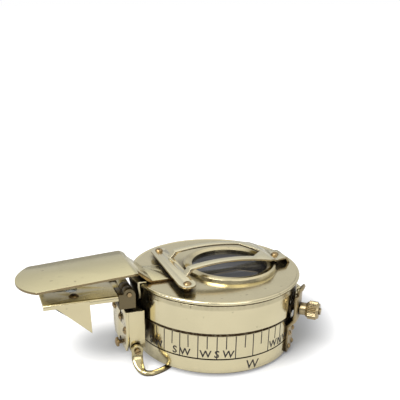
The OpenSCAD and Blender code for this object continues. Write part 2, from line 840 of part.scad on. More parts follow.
module frame_screws() {
    color([0.74, 0.60, 0.34])
    for (p = [[-cross_x, post_y], [-cross_x, -post_y], [tab_screw_x, 0]])
        translate([p[0], p[1], frame_top]) {
            round_head(head_r, head_h);
            translate([0, 0, -frame_rise - lid_top_t]) cylinder(r = screw_r, h = frame_rise + lid_top_t + 0.1, $fn = 32);
        }
}

// The paddle seen from above, with a round end and rounded root corners
module paddle_plan() {
    corner = 3;
    intersection() {
        translate([paddle_x1, -paddle_half]) square([paddle_l - corner, 2 * paddle_half]);
        translate([paddle_x1 + paddle_end_r, 0]) union() {
            circle(r = paddle_end_r);
            translate([0, -paddle_half]) square([paddle_l, 2 * paddle_half]);
        }
    }
    translate([paddle_x0 - corner - 0.1, corner - paddle_half]) square([corner + 0.1, 2 * (paddle_half - corner)]);
    for (s = [-1, 1])
        translate([paddle_x0 - corner, s * (paddle_half - corner)]) circle(r = corner, $fn = 48);
    translate([paddle_x0 - 1, -foot_half]) square([foot_x1 - paddle_x0 + 1, 2 * foot_half]);
}

// The paddle seen from the side: drooping blade, neck and foot
module paddle_side() {
    fall = (paddle_l - 2) * tan(paddle_droop);
    polygon([
        [paddle_x1, paddle_z - fall], [paddle_x0 - 2, paddle_z], [paddle_x0 - 0.4, paddle_z - 0.5],
        [foot_x0 - 0.8, lid_top + paddle_t + 1.3], [foot_x0 + 0.6, lid_top + paddle_t],
        [foot_x1, lid_top + paddle_t], [foot_x1, lid_top], [foot_x0, lid_top],
        [foot_x0 - 1.4, lid_top + 0.9], [paddle_x0 - 1, paddle_z - 1.3], [paddle_x0 - 2.2, paddle_z - paddle_t],
        [paddle_x1, paddle_z - fall - paddle_t]
    ]);
}

module thumb_paddle() {
    color([0.84, 0.78, 0.58])
    difference() {
        intersection() {
            translate([0, 0, lid_top]) linear_extrude(paddle_rise + 4) paddle_plan();
            side(-paddle_half - 2, 2 * paddle_half + 4) paddle_side();
        }
        for (s = [-1, 1])
            translate([rivet_x, s * rivet_y, lid_top - 1]) cylinder(r = screw_r, h = 4, $fn = 32);
    }
}

module paddle_rivets() {
    color([0.74, 0.62, 0.38])
    for (s = [-1, 1]) translate([rivet_x, s * rivet_y, lid_top + paddle_t]) {
        round_head(head_r, 0.7);
        translate([0, 0, -paddle_t - lid_top_t]) cylinder(r = screw_r, h = paddle_t + lid_top_t + 0.1, $fn = 32);
    }
}

module lid_catch() {
    top_z = lid_top + 1;
    point_z = skirt_z0 + catch_up;
    lug_r = rim_out + 0.1;
    // The top stays clear of the paddle's neck over its whole width
    catch_in = norm([foot_x0 - 1.8, catch_half]);
    color([0.82, 0.74, 0.52])
    intersection() {
        rotate(150) rotate_extrude(angle = 60) polygon([
            [catch_in, lid_top], [lid_r - 1, lid_top], [lid_r - 0.5, lid_top + 0.3], [lug_r, lid_top + 0.3],
            [lug_r, rim_z - 1], [catch_r, rim_z - 4.5], [catch_r, point_z - 1],
            [catch_r + catch_t, point_z - 1], [catch_r + catch_t, rim_z - 4.5],
            [lug_r + catch_t, rim_z - 1], [lug_r + catch_t, top_z], [catch_in, top_z]
        ]);
        rotate([90, 0, -90]) linear_extrude(far) polygon([
            [-catch_half, top_z + 1], [-catch_half, rim_z - 2], [-catch_half + 1.2, lip_z0 + 1],
            [0, point_z], [catch_half - 1.2, lip_z0 + 1], [catch_half, rim_z - 2], [catch_half, top_z + 1]
        ]);
    }
}

module lid_hinge_leaf() {
    color([0.80, 0.70, 0.45])
    difference() {
        union() {
            translate([lid_r - leaf_t, -hinge_half, hinge_z + 3]) cube([2 * leaf_t, 2 * hinge_half, leaf_h]);
            side(-hinge_mid, 2 * hinge_mid) {
                translate([hinge_x, hinge_z]) circle(r = hinge_r, $fn = 48);
                polygon([
                    [lid_r - 1, hinge_z - 0.4], [hinge_x, hinge_z - 0.4], [hinge_x, hinge_z + hinge_r],
                    [lid_r + leaf_t, hinge_z + 4], [lid_r - 1, hinge_z + 4]
                ]);
            }
        }
        translate([0, 0, skirt_z0 - 2]) cylinder(r = lid_r, h = lid_h);
        along_y(hinge_x, -far / 2, hinge_z, hinge_pin_r + run, far);
    }
}

module focus_slide() {
    ring_half = (block_half - tongue_half - 0.5 - knuckle_gap) / 2;
    color([0.80, 0.74, 0.56])
    difference() {
        union() {
            translate([-knuckle_x0, -block_half, knuckle_z0])
                cube([knuckle_x0 - knuckle_x1, 2 * block_half, knuckle_h]);
            translate([-block_x + run, -slide_half, block_z0 - 1.8])
                cube([slide_t, 2 * slide_half, knuckle_z0 - block_z0 + 2]);
            for (s = [-1, 1]) for (k = [0, 1])
                translate([-barrel_x, 0, barrel_z]) rotate([90, 0, 0])
                    translate([0, 0, s * (tongue_half + 0.5 + ring_half / 2 + k * (ring_half + knuckle_gap))])
                        cylinder(r = barrel_r, h = ring_half, center = true, $fn = 48);
        }
        // Room for the arm's middle knuckle and tongue
        translate([-knuckle_x0 - eps, -tongue_half - 0.5, barrel_z - barrel_r - gap])
            cube([knuckle_x0 - knuckle_x1 + 2 * eps, 2 * tongue_half + 1, 10]);
        along_y(-barrel_x, -far / 2, barrel_z, barrel_pin_r, far);
        translate([-block_x - 1, stud_y, stud_z]) rotate([0, 90, 0]) cylinder(r = 0.7, h = 4, $fn = 32);
    }
}

module focus_stud() {
    color([0.50, 0.36, 0.24])
    translate([-block_x - guide_t - 0.15, stud_y, stud_z]) rotate([0, -90, 0]) {
        round_head(1.7, 0.9);
        translate([0, 0, -guide_t - 0.15 - run]) cylinder(r = stud_r, h = guide_t + 0.2, $fn = 32);
        translate([0, 0, -guide_t - 0.15 - slide_t]) cylinder(r = 0.7, h = slide_t, $fn = 32);
    }
}

module prism_hinge_pin() {
    color([0.66, 0.58, 0.40])
    along_y(-barrel_x, -block_half - 0.4, barrel_z, barrel_pin_r, 2 * block_half + 0.8);
}

// Section of the prism plate across its width, with its rounded edges turned down
module arm_section() {
    difference() {
        union() {
            translate([-arm_half + flange_r, arm_z0]) square([2 * (arm_half - flange_r), arm_t]);
            for (s = [-1, 1]) {
                translate([s * (arm_half - flange_r), arm_top - flange_r]) circle(r = flange_r, $fn = 48);
                translate([s * (arm_half - 0.5) - 0.5, arm_top - flange_r - 0.8]) square([1, 0.8]);
            }
        }
        translate([-cheek_in, arm_z0 - 4]) square([2 * cheek_in, 4]);
    }
}

// Triangle of the cheeks seen from the side
module cheek_outline() {
    polygon([
        [-prism_x1 - 1.2, arm_top - 0.5], [-prism_x0, arm_top - 0.5], [-prism_x0 + 0.4, prism_top - prism_h - 1.4]
    ]);
}

module prism_holder() {
    cheek_t = arm_half - cheek_in;
    color([0.82, 0.76, 0.58])
    difference() {
        union() {
            translate([-arm_x1, 0, 0]) rotate([90, 0, 90]) linear_extrude(arm_l - barrel_r - 2) arm_section();
            for (s = [-1, 1]) side(s * (arm_half - cheek_t / 2) - cheek_t / 2, cheek_t) cheek_outline();
            translate([-arm_x0 - 1, -tongue_half, arm_z0]) cube([arm_x0 - barrel_x + 1, 2 * tongue_half, arm_t]);
            along_y(-barrel_x, -tongue_half, barrel_z, barrel_r, 2 * tongue_half);
        }
        // Barrel bore, sight hole and slot
        along_y(-barrel_x, -far / 2, barrel_z, barrel_pin_r + run, far);
        translate([-eye_x, 0, arm_z0 - 2]) cylinder(r = eye_r, h = 6, $fn = 64);
        translate([-arm_x1 + 2, -slot_w / 2, arm_z0 - 2]) cube([arm_x1 - eye_x - 2, slot_w, 6]);
        for (s = [-1, 1])
            translate([-eye_x, s * arm_screw_y, arm_z0 - 2]) cylinder(r = screw_r, h = 6, $fn = 32);
    }
}

module prism() {
    half = cheek_in - 0.1;
    color([0.60, 0.68, 0.70, 0.6])
    side(-half, 2 * half) polygon([
        [-prism_x1, prism_top], [-prism_x0 - 0.3, prism_top], [-prism_x0 - 0.3, prism_top - prism_h]
    ]);
}

module prism_screws() {
    color([0.55, 0.38, 0.22])
    for (s = [-1, 1]) translate([-eye_x, s * arm_screw_y, arm_top]) {
        round_head(head_r + 0.3, head_h + 0.1);
        translate([0, 0, -arm_t - lens_t]) cylinder(r = screw_r, h = arm_t + lens_t + 0.1, $fn = 32);
    }
}

module eye_lens() {
    color([0.75, 0.85, 0.85, 0.4])
    translate([-eye_x, 0, arm_z0 - lens_t]) cylinder(r = arm_screw_y - screw_r - 0.6, h = lens_t);
}

module brake_pin() {
    pin_in = lever_x + 0.9 + gap;
    head_x = block_x + guide_t + brake_out;
    color([0.76, 0.62, 0.36]) {
        along_x(-pin_in, brake_y, brake_z, brake_r, head_x + 0.1 - pin_in);
        translate([-head_x, brake_y, brake_z]) rotate([0, -90, 0]) {
            cylinder(r = 2, h = 0.8, $fn = 48);
            translate([0, 0, 0.8]) round_head(2, 0.6);
        }
    }
}

module brake_lever() {
    reach = 5.5;
    pad_drop = 2.13;
    tip = [reach, card_z0 - pad_drop - lever_z];
    color([0.74, 0.68, 0.50])
    difference() {
        side(brake_y - lever_t / 2, lever_t) translate([-lever_x, lever_z]) {
            circle(r = 1.5, $fn = 32);
            translate([-0.9, brake_z - lever_z - 0.9]) square([1.8, lever_z - brake_z + 0.9]);
            bar([0, 0], tip, 1.4);
            translate([tip[0] - 1.8, tip[1] - 0.3]) square([4, 1]);
        }
        along_y(-lever_x, -far / 2, lever_z, 0.6 + run, far);
    }
}

module clamp_knob() {
    neck = 2.6;
    head_x = strap_out + clamp_t + gap + neck;
    teeth = 30;
    color([0.70, 0.60, 0.38])
    rotate(clamp_angle) translate([0, 0, clamp_z]) rotate([0, 90, 0]) {
        translate([0, 0, shoe_in + 0.9]) cylinder(r = clamp_shank_r, h = head_x - shoe_in - 0.9, $fn = 48);
        translate([0, 0, head_x - neck]) cylinder(r = 2.6, h = neck + 0.1, $fn = 48);
        translate([0, 0, head_x]) cylinder(r1 = 3, r2 = clamp_head_r - 0.3, h = 0.9, $fn = 60);
        translate([0, 0, head_x + 0.9]) linear_extrude(clamp_head_l - 1.8) polygon([
            for (i = [0 : 2 * teeth - 1])
            let (a = i * 180 / teeth, r = clamp_head_r - (i % 2) * 0.4)
            [r * cos(a), r * sin(a)]
        ]);
        translate([0, 0, head_x + clamp_head_l - 0.9])
            cylinder(r1 = clamp_head_r - 0.3, r2 = 3, h = 0.9, $fn = 60);
        translate([0, 0, head_x + clamp_head_l - 0.1]) cylinder(r = 1.4, h = 0.8, $fn = 48);
    }
}

module clamp_shoe() {
    color([0.60, 0.45, 0.28])
    difference() {
        rotate(clamp_angle - shoe_half) rotate_extrude(angle = 2 * shoe_half)
            translate([shoe_in, case_h + gap]) square([shoe_out - shoe_in, 2 * (clamp_up - gap)]);
        rotate(clamp_angle) translate([shoe_in + 0.5, 0, clamp_z]) rotate([0, 90, 0])
            cylinder(r = clamp_shank_r + run, h = 4, $fn = 48);
    }
}

// The ring's wire from its eye down to the start of the bow, on the +Y side
function ring_path() = [
    [-pivot_x + 0.1, eye_in + wire_r + 0.2, pivot_z - 2.4],
    [-pivot_x + 0.5, eye_in + wire_r + 0.8, pivot_z - 4.2],
    [-pivot_x + 0.6, bow_r - 1.2, wire_z],
    [-pivot_x, bow_r, wire_z]
];

module carrying_ring() {
    path = ring_path();
    color([0.82, 0.72, 0.46])
    difference() {
        union() {
            translate([-pivot_x, 0, wire_z]) rotate(-90) rotate_extrude(angle = 180)
                translate([bow_r, 0]) circle(r = wire_r, $fn = 48);
            for (s = [-1, 1]) mirror([0, (1 - s) / 2, 0]) {
                for (i = [0 : len(path) - 2]) wire(path[i], path[i + 1], wire_r);
                along_y(-pivot_x, eye_in, pivot_z, eye_ring_r, eye_t);
            }
        }
        along_y(-pivot_x, -far / 2, pivot_z, pivot_r + run, far);
    }
}

case_body();
pivot_post();
pivot_needle();
bezel_keeper();
dial_trim();
prism_bracket();
guide_plate();
guide_screws();
ring_pins();
case_hinge_leaf();
lid_hinge_pin();
clamp_strap();
strap_screws();
brake_bush();
brake_frame();
bezel_ring();
bezel_glass();
glass_keeper();
compass_card();
card_cap();
card_jewel();
card_magnets();
lid_shell();
window_bezel();
window_glass();
hairline();
sight_frame();
frame_posts();
frame_screws();
thumb_paddle();
paddle_rivets();
lid_catch();
lid_hinge_leaf();
focus_slide();
focus_stud();
prism_hinge_pin();
prism_holder();
prism();
prism_screws();
eye_lens();
brake_pin();
brake_lever();
clamp_knob();
clamp_shoe();
carrying_ring();
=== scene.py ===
"""Dresses the prismatic compass: finishes for every piece, with tarnish and painted shade in their corners, rounded
edges, the forged carrying ring, slotted screws, the engraved scale and the printed card, on a pale floor with soft
painted shades under soft light. Lengths are in metres unless a comment or a name ending in _mm says otherwise."""

import json
import math
import random

import bmesh
import bpy
from mathutils import Matrix, Vector


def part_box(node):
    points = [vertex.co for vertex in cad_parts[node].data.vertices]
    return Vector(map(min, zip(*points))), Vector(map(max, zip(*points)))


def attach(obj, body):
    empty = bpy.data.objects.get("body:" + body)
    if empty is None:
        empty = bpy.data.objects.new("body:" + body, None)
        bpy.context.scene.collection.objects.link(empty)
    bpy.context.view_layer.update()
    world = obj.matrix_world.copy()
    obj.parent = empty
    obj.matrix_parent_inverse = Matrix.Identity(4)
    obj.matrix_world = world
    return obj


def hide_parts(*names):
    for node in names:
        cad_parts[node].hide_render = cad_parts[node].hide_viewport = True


bl_info = {
    "name": "Prismatic Compass",
    "version": (1, 0, 0),
    "blender": (4, 5, 0),
    "location": "View3D > Sidebar > Compass",
    "description": "Dresses the packed compass with its finishes, scale, card and screws",
    "category": "Add Mesh",
}

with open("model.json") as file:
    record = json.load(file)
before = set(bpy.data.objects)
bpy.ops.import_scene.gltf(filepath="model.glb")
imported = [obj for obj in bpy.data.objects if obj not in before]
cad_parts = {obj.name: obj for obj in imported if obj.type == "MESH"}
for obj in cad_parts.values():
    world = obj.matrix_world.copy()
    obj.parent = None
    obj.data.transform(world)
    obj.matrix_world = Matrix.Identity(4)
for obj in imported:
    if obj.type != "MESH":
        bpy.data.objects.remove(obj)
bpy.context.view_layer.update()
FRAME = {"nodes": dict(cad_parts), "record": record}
NODES = FRAME["nodes"]
MM = 0.001
TAU = 2 * math.pi


def case_radius():
    """Radius of the case wall: the widest place of the case below its bead."""
    mesh = NODES["case_body"].data
    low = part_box("case_body")[0].z
    return max(math.hypot(v.co.x, v.co.y) for v in mesh.vertices if v.co.z < low + 8 * MM)


CASE_R = case_radius()
SKIRT_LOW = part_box("lid_shell")[0].z
LID_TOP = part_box("lid_shell")[1].z
CARD_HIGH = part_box("compass_card")[1]
CARD_TOP = CARD_HIGH.z
CARD_R = CARD_HIGH.x


# Shader maths

# Sockets of a mix node that are in use when it mixes colours
MIX_AMOUNT, MIX_FIRST, MIX_SECOND, MIX_COLOUR = 0, 6, 7, 2


class Sock:
    """A shader socket that takes part in Python expressions, which add its Math nodes."""

    def __init__(self, shader, socket):
        self.shader = shader
        self.socket = socket

    def _math(self, operation, *values):
        return self.shader.add("ShaderNodeMath", {"operation": operation}, values)[0]

    def __add__(self, other):
        return self._math("ADD", self, other)

    def __sub__(self, other):
        return self._math("SUBTRACT", self, other)

    def __rsub__(self, other):
        return self._math("SUBTRACT", other, self)

    def __mul__(self, other):
        return self._math("MULTIPLY", self, other)

    def __truediv__(self, other):
        return self._math("DIVIDE", self, other)

    def __abs__(self):
        return self._math("ABSOLUTE", self)

    def __lt__(self, other):
        return self._math("LESS_THAN", self, other)

    def __gt__(self, other):
        return self._math("GREATER_THAN", self, other)

    __radd__ = __add__
    __rmul__ = __mul__

    def clamp(self):
        return self.shader.add("ShaderNodeClamp", {}, [self])[0]

    def smooth(self, low, high):
        """0 below low, 1 above high and a soft step between."""
        settings = {"interpolation_type": "SMOOTHSTEP"}
        return self.shader.add("ShaderNodeMapRange", settings, [self, low, high])[0]


class Shader:
    """A material under construction."""

    def __init__(self, name):
        self.material = bpy.data.materials.new(name)
        self.material.use_nodes = True
        self.tree = self.material.node_tree
        self.tree.nodes.clear()
        self.out = self.tree.nodes.new("ShaderNodeOutputMaterial")
        self.place = self.add("ShaderNodeTexCoord")["Object"]

    def add(self, kind, settings=None, inputs=None):
        """Adds a node, sets it up, fills its inputs and returns its outputs as Socks."""
        node = self.tree.nodes.new(kind)
        for key, value in (settings or {}).items():
            setattr(node, key, value)
        pairs = inputs.items() if isinstance(inputs, dict) else enumerate(inputs or [])
        for key, value in pairs:
            socket = node.inputs[key]
            if isinstance(value, Sock):
                self.tree.links.new(value.socket, socket)
            else:
                socket.default_value = value
        return Outputs(self, node)

    def noise(self, scale, detail=2.0, stretch=(1, 1, 1), rough=0.5):
        """Noise over the object's own coordinates."""
        place = self.add("ShaderNodeMapping", {}, {"Vector": self.place, "Scale": stretch})[0]
        values = {"Vector": place, "Scale": scale, "Detail": detail, "Roughness": rough}
        return self.add("ShaderNodeTexNoise", {}, values)[0]

    def mix(self, amount, first, second):
        """Mixes two colours."""
        settings = {"data_type": "RGBA"}
        return self.add("ShaderNodeMix", settings, {
            MIX_AMOUNT: amount, MIX_FIRST: first, MIX_SECOND: second,
        })[MIX_COLOUR]

    def axes(self):
        """The object's X, Y and Z as three Socks."""
        parts = self.add("ShaderNodeSeparateXYZ", {}, [self.place])
        return parts[0], parts[1], parts[2]

    def finish(self, surface):
        """Ends the material with a surface shader."""
        self.tree.links.new(surface.socket, self.out.inputs["Surface"])
        return self.material


class Outputs:
    """The outputs of a node, by name or number."""

    def __init__(self, shader, node):
        self.shader = shader
        self.node = node

    def __getitem__(self, key):
        return Sock(self.shader, self.node.outputs[key])


def rgb(colour):
    """A colour with its alpha."""
    return (colour[0], colour[1], colour[2], 1.0)


def darker(colour, share):
    """The colour times a share."""
    return tuple(c * share for c in colour[:3])


# Finishes

BRASS = (0.86, 0.77, 0.505)
BRASS_WARM = (0.85, 0.75, 0.47)
# The colour that corners and hollows darken to: tarnish together with painted shade
TARNISH_AND_SHADE = (0.045, 0.026, 0.012)
# Colour of the painted shade on upright sides
SIDE_SHADE = (0.17, 0.10, 0.042)
INK = (0.035, 0.022, 0.012)
# How near other metal darkens a corner with tarnish and painted shade, and how far the wider painted shade in hollows
# and under other parts reaches
CORNER_REACH = 2.6 * MM
HOLLOW_REACH = 9 * MM
# How far inside the case's radius its outside is taken to start
WALL_REACH = 1 * MM
# The card's pearl annulus and its warm rim, as radii, and how wide their edges fade
PEARL_START, PEARL_END, RIM_START, FADE = 5.2 * MM, 9.6 * MM, 20.2 * MM, 0.2 * MM


def brass(name, colour, roughness=0.16, soil_and_shade=0.5, haze=0.10, edge=0.25 * MM, ink=None, line=None, sides=0.0):
    """Polished brass with a little haze, fine rubbing marks and specks of wear, and tarnish with painted shade in its
    corners, its hollows and under other parts. It may also have ink in a groove, dark lines of painted shade turned
    round it, and painted shade on its upright sides."""
    s = Shader(name)
    cloud = s.noise(70, 3.0)
    fine = s.noise(900, 4.0, (1, 1, 0.25))
    tone = s.mix(cloud.smooth(0.35, 0.75) * 0.35, rgb(colour), rgb(darker(colour, 0.86)))
    # Ambient occlusion darkens corners, and farther out hollows and places under other parts: painted shade mixed
    # with tarnish
    corner = s.add("ShaderNodeAmbientOcclusion", {"samples": 6}, {"Distance": CORNER_REACH})["AO"]
    shade_and_tarnish = (1 - corner).smooth(0.26, 0.74) * soil_and_shade
    around = s.add("ShaderNodeAmbientOcclusion", {"samples": 4}, {"Distance": HOLLOW_REACH})["AO"]
    shade_and_tarnish = (shade_and_tarnish + (1 - around).smooth(0.22, 0.66) * soil_and_shade * 0.9).clamp()
    specks = s.noise(520, 1.0).smooth(0.72, 0.80) * soil_and_shade * 0.3
    shade_and_tarnish = (shade_and_tarnish + specks).clamp()
    # Dark lines of painted shade round the outside, also sunk a little by a bump below
    if line:
        painted_lines = line(s)
        shade_and_tarnish = (shade_and_tarnish + painted_lines).clamp()
    tone = s.mix(shade_and_tarnish * (0.55 + fine * 0.9), tone, rgb(TARNISH_AND_SHADE))
    rough = roughness + cloud.smooth(0.4, 0.8) * haze + shade_and_tarnish * 0.25
    # Upright faces are painted darker, as shade
    if sides:
        level = s.add("ShaderNodeSeparateXYZ", {}, [s.add("ShaderNodeTexCoord")["Normal"]])[2]
        tone = s.mix((1 - abs(level).smooth(0.35, 0.8)) * sides, tone, rgb(SIDE_SHADE))
    if ink:
        mark = ink(s)
        tone = s.mix(mark, tone, rgb(INK))
        rough = rough + mark * 0.35
    rounded = s.add("ShaderNodeBevel", {"samples": 6}, {"Radius": edge})[0]
    bumped = s.add("ShaderNodeBump", {}, {
        "Strength": 0.10, "Distance": 0.02 * MM, "Height": fine, "Normal": rounded,
    })[0]
    if line:
        bumped = s.add("ShaderNodeBump", {}, {
            "Strength": 1.0, "Distance": 0.2 * MM, "Height": 1 - painted_lines, "Normal": bumped,
        })[0]
    surface = s.add("ShaderNodeBsdfPrincipled", {}, {
        "Base Color": tone, "Metallic": 1.0, "Roughness": rough, "Normal": bumped,
    })[0]
    return s.finish(surface)


def from_axis(s, x, y):
    """How far a place at X and Y is from the upright line through the origin."""
    flat = s.add("ShaderNodeCombineXYZ", {}, [x, y, 0.0])[0]
    return s.add("ShaderNodeVectorMath", {"operation": "LENGTH"}, [flat])["Value"]


def on_wall(s, x, y):
    """1 on the outside of the case and the lid's skirt."""
    return from_axis(s, x, y) > (CASE_R - WALL_REACH)


def turned_line(*lines):
    """Dark lines of painted shade turned round the outside, each a height, half a width and a depth of shade."""
    def mask(s):
        x, y, z = s.axes()
        uneven = 0.55 + s.noise(180, 2.0) * 0.9
        near = z * 0
        for height, half, strength in lines:
            near = near + (1 - abs(z - height).smooth(half * 0.4, half)) * strength
        return near * on_wall(s, x, y) * uneven
    return mask


def groove_ink(height, half):
    """Ink of the engraved line round the case, as a mask over the case's own coordinates."""
    def mask(s):
        x, y, z = s.axes()
        return (abs(z - height) < half) * on_wall(s, x, y)
    return mask


def steel(name):
    """Bright steel with fine turning marks."""
    s = Shader(name)
    marks = s.noise(3000, 2.0, (1, 1, 0.1))
    bump = s.add("ShaderNodeBump", {}, {"Strength": 0.15, "Distance": 0.01 * MM, "Height": marks})[0]
    surface = s.add("ShaderNodeBsdfPrincipled", {}, {
        "Base Color": s.mix(marks, (0.52, 0.52, 0.54, 1), (0.68, 0.68, 0.70, 1)), "Metallic": 1.0,
        "Roughness": 0.25 + marks * 0.1, "Normal": bump,
    })[0]
    return s.finish(surface)


def clear_glass(name, tint, strength):
    """Thin glass: see-through, with its reflection growing towards grazing angles."""
    s = Shader(name)
    through = s.add("ShaderNodeBsdfTransparent", {}, [rgb(tint)])[0]
    shine = s.add("ShaderNodeBsdfGlossy", {}, {"Color": (1, 1, 1, 1), "Roughness": 0.02})[0]
    fresnel = s.add("ShaderNodeFresnel", {}, {"IOR": 1.5})[0]
    outside = 1 - s.add("ShaderNodeNewGeometry")["Backfacing"]
    amount = (fresnel * strength).clamp() * outside
    return s.finish(s.add("ShaderNodeMixShader", {}, [amount, through, shine])[0])


def dark_glass(name):
    """The lid's window: grey glass that shows the dim space behind it and a soft reflection, with pale streaks of
    painted reflection in its colour.
    """
    s = Shader(name)
    through = s.add("ShaderNodeBsdfTransparent", {}, [(0.30, 0.31, 0.33, 1.0)])[0]
    # Pale streaks of painted reflection over the dark glass
    painted_streak = s.noise(110, 3.0, (0.25, 1.6, 1)).smooth(0.5, 0.72)
    body = s.add("ShaderNodeBsdfPrincipled", {}, {
        "Base Color": s.mix(painted_streak, (0.030, 0.031, 0.035, 1), (0.20, 0.20, 0.21, 1)),
        "Roughness": 0.04, "Specular IOR Level": 0.9,
    })[0]
    return s.finish(s.add("ShaderNodeMixShader", {}, [0.62, through, body])[0])


def prism_glass(name):
    """Solid optical glass."""
    s = Shader(name)
    surface = s.add("ShaderNodeBsdfPrincipled", {}, {
        "Base Color": (0.93, 0.96, 0.96, 1), "Transmission Weight": 1.0, "Roughness": 0.01 + s.noise(400) * 0.02,
        "IOR": 1.52,
    })[0]
    return s.finish(surface)


def card_silver(name):
    """Silvered card with a pearl annulus round its cap."""
    s = Shader(name)
    x, y, z = s.axes()
    away = from_axis(s, x, y)
    pearl = away.smooth(PEARL_START, PEARL_START + FADE) * (1 - away.smooth(PEARL_END, PEARL_END + FADE))
    grain = s.noise(500, 4.0, (1, 3, 1))
    rim = away.smooth(RIM_START, RIM_START + FADE)
    silver = s.mix(grain, (0.74, 0.74, 0.72, 1), (0.86, 0.86, 0.84, 1))
    shell = s.mix(s.noise(260, 3.0), (0.34, 0.36, 0.40, 1), (0.66, 0.68, 0.70, 1))
    tone = s.mix(pearl, silver, shell)
    tone = s.mix(rim * 0.8, tone, (0.84, 0.79, 0.66, 1))
    surface = s.add("ShaderNodeBsdfPrincipled", {}, {
        "Base Color": tone, "Metallic": 0.25, "Roughness": 0.36 + grain * 0.12,
    })[0]
    return s.finish(surface)


def ruby(name):
    """Red jewel."""
    s = Shader(name)
    surface = s.add("ShaderNodeBsdfPrincipled", {}, {
        "Base Color": s.mix(s.noise(900), (0.35, 0.02, 0.03, 1), (0.55, 0.05, 0.06, 1)), "Roughness": 0.08,
        "Transmission Weight": 0.4,
    })[0]
    return s.finish(surface)


def printing_ink(name):
    """Black ink of the card and the engraved scale."""
    s = Shader(name)
    rubbed = s.noise(700, 3.0)
    surface = s.add("ShaderNodeBsdfPrincipled", {}, {
        "Base Color": s.mix(rubbed, (0.012, 0.010, 0.008, 1), (0.045, 0.035, 0.025, 1)),
        "Roughness": 0.45 + rubbed * 0.15,
    })[0]
    return s.finish(surface)


FINISHES = {
    "case": lambda: brass(
        "Body brass", BRASS, 0.15, 0.8, ink=groove_ink(6.75 * MM, 0.30 * MM),
        # A dark line of painted shade on the case just under the lid's skirt
        line=turned_line((SKIRT_LOW - 0.95 * MM, 0.7 * MM, 1.1)),
    ),
    "lid": lambda: brass("Lid brass", BRASS, 0.17, 0.7, 0.08),
    # The paddle's upright sides get painted shade
    "paddle": lambda: brass("Paddle brass", (0.90, 0.81, 0.49), 0.17, 1.2, 0.08, sides=0.8),
    # A much darker copy of the brass: painted shade for the focus slide, which sits in the dark
    "dark brass": lambda: brass("Dark brass", (0.20, 0.16, 0.09), 0.2, 1.0, 0.14, 0.2 * MM),
    "ring": lambda: brass("Ring brass", (0.64, 0.55, 0.31), 0.15, 1.0, edge=0.2 * MM),
    "aged": lambda: brass("Aged brass", (0.50, 0.405, 0.235), 0.26, 1.0, 0.14, 0.2 * MM),
    "shell": lambda: brass(
        "Lid top brass", BRASS, 0.15, 0.85, 0.06,
        # A dark line of painted shade under the lid's rim, and a wide faint painted shade below it
        line=turned_line((LID_TOP - 1.75 * MM, 0.42 * MM, 0.9), (LID_TOP - 2.9 * MM, 1.3 * MM, 0.22)),
    ),
    # A slightly darker copy of the brass: painted shade for the prism holder's cheeks
    "bright": lambda: brass("Holder brass", (0.83, 0.73, 0.46), 0.14, 0.6),
    # A lighter copy of the brass, painted light for the frame's bright top, with painted shade on its upright sides
    "frame": lambda: brass("Frame brass", (0.98, 0.90, 0.62), 0.13, 0.5, sides=0.7),
    "fitting": lambda: brass("Fitting brass", BRASS_WARM, 0.2, 1.0, edge=0.2 * MM),
    "screw": lambda: brass("Screw brass", (0.42, 0.30, 0.15), 0.24, 1.0, edge=0.12 * MM),
    "steel": lambda: steel("Needle steel"),
    "card": lambda: card_silver("Silvered card"),
    "clear": lambda: clear_glass("Clear glass", (0.96, 0.98, 0.98), 1.3),
    "dark": lambda: dark_glass("Window glass"),
    "prism": lambda: prism_glass("Prism glass"),
    "ruby": lambda: ruby("Jewel"),
    "ink": lambda: printing_ink("Black ink"),
}

NODE_FINISH = {
    "case": "case_body dial_trim pivot_post bezel_keeper case_hinge_leaf lid_hinge_pin bezel_ring glass_keeper",
    "lid": "lid_catch lid_hinge_leaf",
    "paddle": "thumb_paddle",
    "shell": "lid_shell",
    "bright": "prism_holder window_bezel card_cap",
    "frame": "sight_frame",
    "dark brass": "focus_slide",
    "aged": "clamp_strap clamp_knob clamp_shoe",
    "fitting": "prism_bracket guide_plate brake_bush brake_frame brake_lever",
    "ring": "carrying_ring",
    "screw": "frame_posts guide_screws ring_pins strap_screws frame_screws paddle_rivets focus_stud prism_hinge_pin"
             " prism_screws brake_pin",
    "steel": "pivot_needle card_magnets hairline",
    "card": "compass_card",
    "clear": "bezel_glass eye_lens",
    "dark": "window_glass",
    "prism": "prism",
    "ruby": "card_jewel",
}

MADE = {}


def finish(name):
    """The named finish, made once."""
    if name not in MADE:
        MADE[name] = FINISHES[name]()
    return MADE[name]


def wear(obj, name):
    """Gives an object one finish."""
    obj.data.materials.clear()
    obj.data.materials.append(finish(name))


# Stage

# The camera: the height that it looks at, its turn, rise and roll in degrees, its distance, the focal length
# as a share of the picture's width, and the picture's centre and width in pixels
EYE_LEVEL = 15.1 * MM
CAMERA_TURN = -21.93
CAMERA_RISE = 25.39
CAMERA_ROLL = 1.88
CAMERA_AWAY = 0.280
FOCAL_SHARE = 645.5 / 400
CENTRE_PX = (213.97, 303.92)
PHOTO_PX = 400
NEAREST = 10 * MM


class FinishNodes(bpy.types.Operator):
    """Gives every carried-over solid its finish"""

    bl_idname = "compass.finish_nodes"
    bl_label = "Finish the solids"

    def execute(self, context):
        for name, nodes in NODE_FINISH.items():
            for node in nodes.split():
                wear(NODES[node], name)
                for polygon in NODES[node].data.polygons:
                    polygon.use_smooth = True
        return {"FINISHED"}


def camera_axes():
    """Right, up and backward of the camera, with its roll."""
    turn, rise, roll = (math.radians(v) for v in (CAMERA_TURN, CAMERA_RISE, CAMERA_ROLL))
    back = Vector((math.sin(turn) * math.cos(rise), -math.cos(turn) * math.cos(rise), math.sin(rise)))
    right = Vector((math.cos(turn), math.sin(turn), 0))
    up = back.cross(right)
    c, s = math.cos(roll), math.sin(roll)
    return c * right + s * up, c * up - s * right, back


